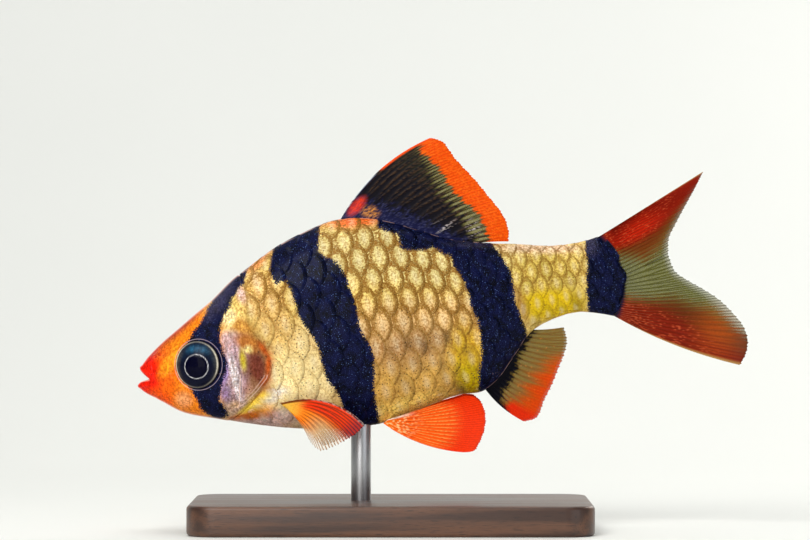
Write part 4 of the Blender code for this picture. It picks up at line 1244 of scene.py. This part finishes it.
def paint_pectoral(x, z, across, along, ray, t):
    fine = grit(x, z, 0.14)
    outer = ease(0.3, 0.55, across) * ease(0.35, 0.75, along)
    coat = Coat(len(x), (246, 132, 24), 0.95)
    coat.lay((232, 206, 150), 0.8 * outer, 0.3)
    coat.lay((92, 28, 12), 0.9 * ray ** (1 + 2 * outer) * ease(0.22, 0.4, along), 0.95)
    red = ease(0.45, 0.25, across)
    coat.lay((226, 48, 3), red * (1 - 0.6 * ray), 1.0)
    coat.lay((72, 10, 16), 0.95 * red * ray * ease(0.22, 0.42, along))
    coat.lay((30, 24, 50), red * ease(0.78, 0.95, along) * (0.4 + 0.6 * ray), 1.0)
    coat.lay((244, 190, 70), ease(0.32, 0.12, along), 1.0)
    # Painted highlight: broken pale line along the top edge.
    coat.lay((252, 220, 200), 0.4 * ease(0.05, 0.01, across) * ease(0.2, 0.3, along) * (fine > 0.5), 1.0)
    from_top = across * (0.9 + 6 * along)
    coat.lay((104, 12, 8), 0.9 * ease(0.26, 0.14, from_top) * ease(0.4, 0.25, along), 1.0)
    coat.cover = coat.cover * (1 - 0.9 * ease(0.6, 0.95, along) * (1 - ray) * ease(0.2, 0.4, across))
    return coat.colour, coat.cover


# %% [markdown]
# Now the fins are made. Each is told its root, its edge, its number of rays and how often they fork, how its
# front and rear sides bow, how it sways out of the middle plane, its painter and how wide its root spreads.
# The paired fins are mirror images.

# %% Fins
back, belly = ridge_root(*DORSAL_ROOT, 0.0), ridge_root(*ANAL_ROOT, math.pi)
fins = {
    "dorsal_fin": fin_sheet("dorsal_sheet", back, smooth_line(DORSAL_EDGE), 12, 2, (1.1, 0.1), middle_sway,
                            paint_dorsal, 1.6),
    "anal_fin": fin_sheet("anal_sheet", belly, smooth_line(ANAL_EDGE), 19, 1, (-0.35, -0.1), middle_sway,
                          paint_anal, 1.6),
    "caudal_fin_upper": fin_sheet("tail_sheet_upper", tail_root(True), smooth_line(UPPER_LOBE), 19, 1,
                                  (0.0, 0.0), tail_sway, paint_tail, 1.7),
    "caudal_fin_lower": fin_sheet("tail_sheet_lower", tail_root(False), smooth_line(LOWER_LOBE), 21, 1,
                                  (-0.5, 0.0), tail_sway, paint_tail, 1.7),
}
for side, word in ((-1, "left"), (1, "right")):
    pectoral = paired_sway(side, PECTORAL_ROOT, PECTORAL_SPREAD)
    fins["pectoral_fin_" + word] = fin_sheet(
        "pectoral_sheet_" + word, smooth_line(PECTORAL_ROOT), smooth_line(PECTORAL_EDGE), 12, 1, (1.35, 0.25),
        pectoral, paint_pectoral)
    pelvic = paired_sway(side, PELVIC_ROOT, PELVIC_SPREAD)
    fins["pelvic_fin_" + word] = fin_sheet(
        "pelvic_sheet_" + word, smooth_line(PELVIC_ROOT), smooth_line(PELVIC_EDGE), 9, 2, (-0.6, 0.05),
        pelvic, paint_pelvic)
print("fins:", {name: len(piece.data.polygons) for name, piece in fins.items()})

# %% [markdown]
# The stand is a block of dark wood and a brushed rod. The block is a cube made to size, with its four upright
# edges rounded first and the edges of its two faces eased after. The rod is a plain cylinder with fine
# bevels at its ends. Both keep to the boxes of their solids.

# %% Stand
BLOCK_CENTRE, BLOCK_SIZE = (-5.0, 0.0, 1.5), (40.0, 24.0, 3.0)
BLOCK_CORNER, BLOCK_EDGE = 3.0, 0.4
ROD_X, ROD_RADIUS = -8.0, 1.0
ROD_EDGE = 0.06
UPRIGHT, LEVEL = 0.9, 1e-3


def select_edges(mesh, wanted):
    """Selects the edges that wanted() likes: it gets both ends in millimetres."""
    for edge in mesh.edges:
        ends = [np.array(mesh.vertices[i].co) / MM for i in edge.vertices]
        edge.select = bool(wanted(*ends))


def bevel_selected(width, segments):
    bpy.ops.object.mode_set(mode="EDIT")
    bpy.ops.mesh.bevel(offset=width * MM, segments=segments)
    bpy.ops.mesh.select_all(action="DESELECT")
    bpy.ops.object.mode_set(mode="OBJECT")


def start_piece(piece, name):
    piece.name = name
    bpy.ops.object.transform_apply(location=True, rotation=True, scale=True)
    bpy.ops.object.mode_set(mode="EDIT")
    bpy.ops.mesh.select_mode(type="EDGE")
    bpy.ops.mesh.select_all(action="DESELECT")
    bpy.ops.object.mode_set(mode="OBJECT")
    return piece


deselect()
bpy.ops.mesh.primitive_cube_add(size=MM, location=[c * MM for c in BLOCK_CENTRE], scale=BLOCK_SIZE)
block = start_piece(bpy.context.object, "stand_block")
select_edges(block.data, lambda p, q: abs(p[2] - q[2]) > UPRIGHT)
bevel_selected(BLOCK_CORNER, 12)
half_height = BLOCK_SIZE[2] / 2
select_edges(block.data, lambda p, q: abs(p[2] - q[2]) < LEVEL and
             abs(abs(p[2] - BLOCK_CENTRE[2]) - half_height) < LEVEL)
bevel_selected(BLOCK_EDGE, 4)

deselect()
rod_low, rod_high = (corner[2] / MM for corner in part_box("stand_rod"))
bpy.ops.mesh.primitive_cylinder_add(vertices=96, radius=ROD_RADIUS * MM, depth=(rod_high - rod_low) * MM,
                                    location=(ROD_X * MM, 0, (rod_low + rod_high) / 2 * MM))
rod = start_piece(bpy.context.object, "stand_pin")
select_edges(rod.data, lambda p, q: abs(p[2] - q[2]) < LEVEL)
bevel_selected(ROD_EDGE, 2)
for piece in (block, rod):
    piece.select_set(True)
    bpy.context.view_layer.objects.active = piece
    bpy.ops.object.shade_smooth_by_angle(angle=math.radians(35))
print("stand:", len(block.data.polygons), "and", len(rod.data.polygons), "faces")

# %% [markdown]
# Materials are node trees. A few short functions add a node and give back its socket, so that a material can
# be read from top to bottom. All patterns are measured in Object coordinates, in millimetres, and the skin,
# the scales, the fins and the eyes take their colours from the values on their points.


# %% Nodes in few words
class Tree:
    def __init__(self, tree):
        self.tree = tree

    def node(self, kind, **settings):
        node = self.tree.nodes.new("ShaderNode" + kind)
        for name, value in settings.items():
            setattr(node, name, value)
        return node

    def wire(self, value, socket):
        if isinstance(value, bpy.types.NodeSocket):
            self.tree.links.new(value, socket)
        elif value is not None:
            socket.default_value = value

    def math(self, operation, first, second=None, third=None):
        node = self.node("Math", operation=operation)
        for value, socket in zip((first, second, third), node.inputs):
            self.wire(value, socket)
        return node.outputs[0]

    def step(self, value, low, high, to_low=0.0, to_high=1.0):
        node = self.node("MapRange", interpolation_type="SMOOTHSTEP")
        ends = (("From Min", low), ("From Max", high), ("To Min", to_low), ("To Max", to_high))
        for name, item in (("Value", value), *ends):
            self.wire(item, node.inputs[name])
        return node.outputs[0]

    def mix(self, share, first, second, blend="MIX"):
        node = self.node("Mix", data_type="RGBA", blend_type=blend)
        self.wire(share, node.inputs[0])
        self.wire(first, node.inputs[6])
        self.wire(second, node.inputs[7])
        return node.outputs[2]

    def value(self, name, socket="Fac"):
        return self.node("Attribute", attribute_name=name).outputs[socket]

    def line(self, value, middle, width):
        """1 on the thin line where a value is near its middle."""
        away = self.math("ABSOLUTE", self.math("SUBTRACT", value, middle))
        return self.step(away, width, width * 0.4)

    def places(self, stretch=(1, 1, 1)):
        mapping = self.node("Mapping")
        mapping.inputs["Scale"].default_value = [1000 * k for k in stretch]
        self.tree.links.new(self.node("TexCoord").outputs["Object"], mapping.inputs["Vector"])
        return mapping.outputs[0]

    def noise(self, vector, scale, detail=2.0):
        node = self.node("TexNoise")
        self.wire(vector, node.inputs["Vector"])
        node.inputs["Scale"].default_value = scale
        node.inputs["Detail"].default_value = detail
        return node.outputs["Fac"]

    def cells(self, vector, scale, output="Distance"):
        node = self.node("TexVoronoi")
        self.wire(vector, node.inputs["Vector"])
        node.inputs["Scale"].default_value = scale
        return node.outputs[output]

    def bump(self, height, distance, strength=1.0):
        node = self.node("Bump")
        node.inputs["Strength"].default_value = strength
        node.inputs["Distance"].default_value = distance * MM
        self.wire(height, node.inputs["Height"])
        return node.outputs[0]


def shade(red, green, blue):
    return (*linear(red, green, blue), 1.0)


def new_material(name, **constants):
    """(material, its tree, its Principled node with the constants set on its own sockets)."""
    material = bpy.data.materials.new(name)
    material.use_nodes = True
    principled = material.node_tree.nodes["Principled BSDF"]
    for socket, value in constants.items():
        principled.inputs[socket.replace("_", " ")].default_value = value
    return material, Tree(material.node_tree), principled


def new_group(name, inputs, outputs):
    """A shader node group with named sockets, and its tree, input node and output node."""
    group = bpy.data.node_groups.new(name, "ShaderNodeTree")
    for label, kind in inputs:
        group.interface.new_socket(name=label, in_out="INPUT", socket_type="NodeSocket" + kind)
    for label, kind in outputs:
        group.interface.new_socket(name=label, in_out="OUTPUT", socket_type="NodeSocket" + kind)
    tree = Tree(group)
    return group, tree, tree.tree.nodes.new("NodeGroupInput"), tree.tree.nodes.new("NodeGroupOutput")


def use_group(tree, group):
    node = tree.tree.nodes.new("ShaderNodeGroup")
    node.node_tree = group
    return node


# %% [markdown]
# Skin and scales share one group for the fish's marks. It grows fine black dots towards a band until they
# run together, which gives the bands their ragged, dotted edges, strews brown and dark dots on the straw
# colour, lets the silver parts twinkle, and puts small blue specks in the bands. The skin's own material lays
# warm blotches under the marks, and over them pale lines round the eye and the gill cover, a painted highlight
# along the lips' edge, and a painted rim highlight where the skin is seen at a grazing angle. The scales'
# material adds their lens, rim and fine ribs.

# %% Marks of skin and scales
def marks_group():
    group, tree, inside, outside = new_group(
        "Barb marks", (("Color", "Color"), ("Net", "Float")),
        (("Color", "Color"), ("Roughness", "Float"), ("Metallic", "Float"), ("Height", "Float")))
    places = tree.places()
    patchy = tree.noise(places, 1.3, 3.0)
    grain = tree.noise(places, 9.0, 2.0)
    fine_cells = tree.cells(places, 9.0)
    band = tree.math("ADD", tree.value("band"), tree.math("MULTIPLY_ADD", patchy, 0.36, -0.18))
    band = tree.math("ADD", band, tree.math("MULTIPLY_ADD", tree.noise(places, 6.0), 0.3, -0.15))
    silver = tree.step(tree.value("metal"), 0.1, 0.3)

    colour = inside.outputs["Color"]
    mottle = tree.step(tree.noise(places, 5.0, 3.0), 0.36, 0.6)
    warm = tree.mix(mottle, (0.7, 0.55, 0.4, 1), (1.12, 1.12, 1.12, 1))
    colour = tree.mix(tree.step(tree.value("net"), 0.0, 0.4, 0.5, 1.0), colour, warm, "MULTIPLY")
    light = tree.step(patchy, 0.3, 0.7, 0.9, 1.08)
    streaks = tree.step(tree.noise(tree.places((4.0, 4.0, 0.9)), 1.0, 2.0), 0.3, 0.7, 0.55, 1.35)
    twinkle = tree.step(tree.cells(places, 6.5, "Color"), 0.25, 0.75, 0.75, 1.25)
    foil = tree.math("SUBTRACT", tree.math("MULTIPLY", streaks, twinkle), 1.0)
    light = tree.math("MULTIPLY", light, tree.math("MULTIPLY_ADD", foil, silver, 1.0))
    colour = tree.mix(1.0, colour, light, "MULTIPLY")

    net = tree.math("MULTIPLY", inside.outputs["Net"], tree.value("net"))
    ragged_net = tree.math("MULTIPLY", net, tree.step(grain, 0.25, 0.6, 0.4, 1.0))
    colour = tree.mix(ragged_net, colour, shade(140, 98, 36))
    brown_reach = tree.math("MULTIPLY_ADD", net, 0.22, 0.2)
    brown = tree.step(tree.math("SUBTRACT", tree.cells(places, 5.2), brown_reach), 0.07, -0.07)
    brown = tree.math("MULTIPLY", brown, tree.step(tree.noise(places, 0.8), 0.35, 0.65, 0.1, 0.6))
    brown = tree.math("MULTIPLY", brown, tree.step(tree.value("dots"), 0.08, 0.25, 0.05, 1.0))
    brown = tree.math("MULTIPLY", brown, tree.step(silver, 0.0, 1.0, 1.0, 0.3))
    colour = tree.mix(brown, colour, shade(128, 74, 16))
    gold = tree.math("MULTIPLY", tree.step(tree.cells(places, 7.3), 0.24, 0.14), net)
    colour = tree.mix(tree.math("MULTIPLY", gold, 0.75), colour, shade(236, 188, 84))
    smudge = tree.math("MULTIPLY", tree.value("smudge"), tree.step(grain, 0.35, 0.65, 0.4, 1.0))
    colour = tree.mix(smudge, colour, shade(74, 56, 44))
    chance = tree.cells(places, 3.2, "Color")
    likely = tree.math("MULTIPLY", tree.value("dots"), 0.9)
    chosen = tree.step(tree.math("SUBTRACT", likely, chance), 0.0, 0.02)
    dots = tree.math("MULTIPLY", tree.step(tree.cells(places, 3.2), 0.24, 0.16), chosen)
    colour = tree.mix(tree.math("MULTIPLY", dots, 0.85), colour, shade(40, 28, 24))
    spark = tree.math("MULTIPLY", tree.step(fine_cells, 0.28, 0.16), silver)
    colour = tree.mix(tree.math("MULTIPLY", spark, 0.5), colour, shade(255, 248, 226))

    near = tree.step(band, -0.5, 0.0, -0.1, 0.75)
    ragged = tree.step(tree.math("SUBTRACT", fine_cells, near), 0.1, -0.1)
    near_net = tree.math("MULTIPLY", tree.step(band, -0.4, 0.1), net)
    solid = tree.step(band, -0.12, 0.1)
    dark = tree.math("MAXIMUM", tree.math("MAXIMUM", ragged, solid), near_net)
    navy = tree.mix(tree.step(patchy, 0.35, 0.65), shade(0, 1, 14), shade(6, 11, 48))
    navy = tree.mix(tree.step(fine_cells, 0.32, 0.14, 0.0, 0.5), navy, shade(56, 70, 136))
    sown = tree.step(tree.cells(places, 4.6, "Color"), 0.4, 0.54)
    speck = tree.math("MULTIPLY", tree.step(tree.cells(places, 4.6), 0.22, 0.1), sown)
    navy = tree.mix(tree.math("MULTIPLY", speck, 0.65), navy, shade(104, 134, 200))
    haze = tree.math("MULTIPLY", tree.value("haze"), tree.step(fine_cells, 0.5, 0.2, 0.15, 0.95))
    navy = tree.mix(haze, navy, shade(104, 98, 126))
    colour = tree.mix(dark, colour, navy)

    plain = tree.math("SUBTRACT", 1.0, dark)
    wire = tree.wire
    wire(colour, outside.inputs["Color"])
    wire(tree.step(grain, 0.2, 0.8, 0.4, 0.6), outside.inputs["Roughness"])
    wire(tree.math("MULTIPLY", tree.value("metal"), plain), outside.inputs["Metallic"])
    wire(tree.math("ADD", grain, tree.math("MULTIPLY", fine_cells, 0.3)), outside.inputs["Height"])
    return group


marks = marks_group()


def marked_material(name, coat):
    material, tree, principled = new_material(
        name, Coat_Weight=coat, Coat_Roughness=0.12, Specular_IOR_Level=0.06)
    group = use_group(tree, marks)
    return material, tree, principled, group


def finish_marked(tree, principled, group, normal):
    for name in ("Color", "Roughness", "Metallic"):
        tree.wire(group.outputs[name], principled.inputs["Base Color" if name == "Color" else name])
    tree.wire(normal, principled.inputs["Normal"])


def skin_material():
    material, tree, principled, group = marked_material("fish_skin", 0.04)
    blotches = tree.step(tree.noise(tree.places((1.5, 1.5, 1.0)), 3.2, 4.0), 0.34, 0.64)
    blotches = tree.mix(blotches, (0.74, 0.62, 0.56, 1), (1.16, 1.18, 1.2, 1))
    colour = tree.mix(1.0, tree.value("paint", "Color"), blotches, "MULTIPLY")
    # Inside the open mouth: the mouth's red lining, darkened as painted shade of the gape.
    colour = tree.mix(tree.value("mouth"), colour, shade(70, 10, 8))
    # Inside the eye's edge the skin is near-black: painted shade in the socket round the eye.
    colour = tree.mix(tree.value("socket"), colour, shade(12, 11, 20))
    tree.wire(colour, group.inputs["Color"])
    group.inputs["Net"].default_value = 0.0
    finish_marked(tree, principled, group, tree.bump(group.outputs["Height"], 0.02, 0.6))
    colour = group.outputs["Color"]
    lines = (
        (tree.line(tree.value("from_eye"), 0.18, 0.045), 0.5, (196, 174, 188)),
        # Along the lips' edge: a pale pink line, painted highlight.
        (tree.line(tree.value("from_gape"), 0.08, 0.08), 0.65, (255, 178, 160)),
        (tree.line(tree.value("in_cover"), 0.22, 0.07), 0.6, (244, 206, 190)),
        (tree.line(tree.value("in_cover"), 0.5, 0.07), 0.4, (224, 186, 176)),
    )
    for share, strength, light in lines:
        colour = tree.mix(tree.math("MULTIPLY", share, strength), colour, shade(*light))
    # Painted rim highlight: pale pink where the skin is seen at a grazing angle.
    grazing = tree.node("LayerWeight").outputs["Facing"]
    colour = tree.mix(tree.step(grazing, 0.6, 0.92, 0.0, 0.65), colour, shade(255, 206, 194))
    tree.wire(colour, principled.inputs["Base Color"])
    return material


def scale_material():
    material, tree, principled, group = marked_material("fish_scales", 0.04)
    lens = tree.value("lens")
    edge = tree.value("edge")
    places = tree.places()
    rough = tree.math("ADD", lens, tree.math("MULTIPLY_ADD", tree.noise(places, 4.5), 0.9, -0.45))
    thin = tree.math("MULTIPLY_ADD", tree.value("net"), -0.3, 1.1)
    net = tree.step(tree.math("SUBTRACT", rough, thin), -0.08, 0.28)
    colour = tree.value("paint", "Color")
    tone = tree.step(tree.value("tone"), -1.0, 1.0, 0.9, 1.1)
    colour = tree.mix(1.0, colour, tone, "MULTIPLY")
    pale = tree.math("MULTIPLY", tree.step(lens, 0.9, 0.1), 0.28)
    colour = tree.mix(pale, colour, shade(232, 224, 194))
    gold = tree.math("MULTIPLY", tree.step(edge, 0.09, 0.03), 0.5)
    colour = tree.mix(gold, colour, shade(214, 160, 50))
    tree.wire(colour, group.inputs["Color"])
    tree.wire(net, group.inputs["Net"])
    ribs = tree.math("SINE", tree.math("MULTIPLY", edge, 32.0))
    height = tree.math("MULTIPLY_ADD", ribs, 0.25, group.outputs["Height"])
    finish_marked(tree, principled, group, tree.bump(height, 0.02, 0.6))
    return material


# %% [markdown]
# The other materials are simpler. Fins and eyes take their colours from their points, with a little grain,
# and a fin lets light through where its cover is low. The wood has long growth lines and pores, and the rod
# fine lines along its length. Then every piece gets its material, its slot and the nodes it stands for.

# %% Materials of fins, eyes and stand
def fin_material():
    material, tree, principled = new_material("fish_fins", Specular_IOR_Level=0.06)
    places = tree.places()
    grain = tree.noise(places, 7.0)
    colour = tree.mix(1.0, tree.value("paint", "Color"), tree.step(grain, 0.3, 0.7, 0.88, 1.06), "MULTIPLY")
    tree.wire(colour, principled.inputs["Base Color"])
    tree.wire(tree.value("cover"), principled.inputs["Alpha"])
    tree.wire(tree.step(grain, 0.2, 0.8, 0.4, 0.55), principled.inputs["Roughness"])
    tree.wire(tree.bump(grain, 0.02, 0.3), principled.inputs["Normal"])
    return material


def eye_material():
    material, tree, principled = new_material(
        "fish_eye", Coat_Weight=0.06, Coat_Roughness=0.03, Roughness=0.4, Specular_IOR_Level=0.03)
    places = tree.places()
    flecks = tree.step(tree.cells(places, 9.0), 0.3, 0.1, 1.0, 1.5)
    colour = tree.mix(1.0, tree.value("paint", "Color"), flecks, "MULTIPLY")
    colour = tree.mix(1.0, colour, tree.step(tree.noise(places, 6.0), 0.3, 0.7, 0.75, 1.15), "MULTIPLY")
    tree.wire(colour, principled.inputs["Base Color"])
    return material


def wood_material():
    material, tree, principled = new_material("stand_wood", Coat_Weight=0.25, Coat_Roughness=0.25)
    along = tree.places((0.06, 1.0, 1.0))
    growth = tree.noise(along, 0.9, 4.0)
    pores = tree.noise(tree.places((0.25, 3.0, 3.0)), 3.0, 2.0)
    colour = tree.mix(tree.step(growth, 0.35, 0.65), shade(58, 34, 22), shade(96, 60, 38))
    colour = tree.mix(tree.step(pores, 0.52, 0.68, 0.0, 0.6), colour, shade(34, 19, 12))
    tree.wire(colour, principled.inputs["Base Color"])
    tree.wire(tree.step(growth, 0.3, 0.7, 0.38, 0.52), principled.inputs["Roughness"])
    tree.wire(tree.bump(pores, 0.05, 0.35), principled.inputs["Normal"])
    return material


def rod_material():
    material, tree, principled = new_material("stand_rod", Metallic=1.0)
    lines = tree.noise(tree.places((6.0, 6.0, 0.15)), 4.0, 3.0)
    tree.wire(tree.mix(lines, shade(150, 151, 154), shade(190, 190, 192)), principled.inputs["Base Color"])
    tree.wire(tree.step(lines, 0.2, 0.8, 0.24, 0.4), principled.inputs["Roughness"])
    tree.wire(tree.bump(lines, 0.01, 0.3), principled.inputs["Normal"])
    return material


def dress(piece, material, nodes):
    """Gives a piece its material and slot, and lets it ride and stand for its nodes."""
    piece.data.materials.clear()
    piece.data.materials.append(material)
    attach(piece, "root")
    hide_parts(*nodes)


dress(skin, skin_material(), HEAD_NODES)
scale_look = scale_material()
for coat in coats:
    dress(coat, scale_look, ("torso", "tail_stalk"))
eye_look, fin_look = eye_material(), fin_material()
for eye, node in zip(eyes, ("eye_left", "eye_right")):
    dress(eye, eye_look, (node,))
for node, piece in fins.items():
    dress(piece, fin_look, (node,))
dress(block, wood_material(), ("stand_base",))
dress(rod, rod_material(), ("stand_rod",))

# %% [markdown]
# The fish stands over a pale floor that curves up into a backdrop. The backdrop is clear from behind, so that
# the fish can be looked at from there too. A large soft light comes from above and in front, a weaker one
# fills from the right, a low one lifts the belly, and two from above and behind give the back and the fins
# their bright rim.

# %% Floor and lights
FLOOR_SIZE, FLOOR_BACK, SWEEP_RADIUS, WALL_HEIGHT = 2600.0, 260.0, 160.0, 900.0


def make_floor():
    """A plane pulled up at its far edge, with the fold rounded."""
    deselect()
    middle = FLOOR_BACK - FLOOR_SIZE / 2
    bpy.ops.mesh.primitive_plane_add(size=FLOOR_SIZE * MM, location=(0, middle * MM, 0))
    floor = start_piece(bpy.context.object, "floor")
    select_edges(floor.data, lambda p, q: min(p[1], q[1]) > FLOOR_BACK - 1)
    bpy.ops.object.mode_set(mode="EDIT")
    bpy.ops.mesh.extrude_region_move(TRANSFORM_OT_translate={"value": (0, 0, WALL_HEIGHT * MM)})
    bpy.ops.mesh.select_all(action="DESELECT")
    bpy.ops.object.mode_set(mode="OBJECT")
    select_edges(floor.data, lambda p, q: min(p[1], q[1]) > FLOOR_BACK - 1 and max(p[2], q[2]) < 1)
    bevel_selected(SWEEP_RADIUS, 24)
    floor.data.shade_smooth()
    return floor


floor = make_floor()
floor_look, tree, principled = new_material("pale_floor", Roughness=0.6)
tint = tree.mix(tree.noise(tree.places(), 0.01, 2.0), shade(226, 228, 224), shade(236, 237, 233))
tree.wire(tint, principled.inputs["Base Color"])
from_behind = tree.node("NewGeometry").outputs["Backfacing"]
tree.wire(tree.math("SUBTRACT", 1.0, from_behind), principled.inputs["Alpha"])
floor.data.materials.append(floor_look)


def add_light(name, place, aim, size, power, colour=(1, 1, 1)):
    deselect()
    bpy.ops.object.light_add(type="AREA", location=[c * MM for c in place])
    light = bpy.context.object
    light.name = name
    light.data.size = size * MM
    light.data.energy = power
    light.data.color = colour
    direction = Vector(aim) - Vector(place)
    light.rotation_euler = direction.to_track_quat("-Z", "Y").to_euler()


MIDDLE = (0.0, 0.0, 22.0)
add_light("key", (-120.0, -260.0, 240.0), MIDDLE, 180.0, 0.95, (1.0, 0.98, 0.94))
add_light("fill", (240.0, -260.0, 60.0), MIDDLE, 240.0, 0.22, (0.94, 0.97, 1.0))
add_light("low", (-80.0, -280.0, 15.0), MIDDLE, 160.0, 0.25, (1.0, 0.98, 0.95))
add_light("top", (0.0, 60.0, 300.0), MIDDLE, 200.0, 0.4)
add_light("rim", (180.0, 220.0, 160.0), MIDDLE, 120.0, 0.3, (1.0, 0.97, 0.92))

world = bpy.data.worlds.new("pale_room")
world.use_nodes = True
world.node_tree.nodes["Background"].inputs["Color"].default_value = (0.9, 0.94, 1.0, 1.0)
world.node_tree.nodes["Background"].inputs["Strength"].default_value = 0.2
bpy.context.scene.world = world
bpy.context.scene.view_settings.view_transform = "Standard"
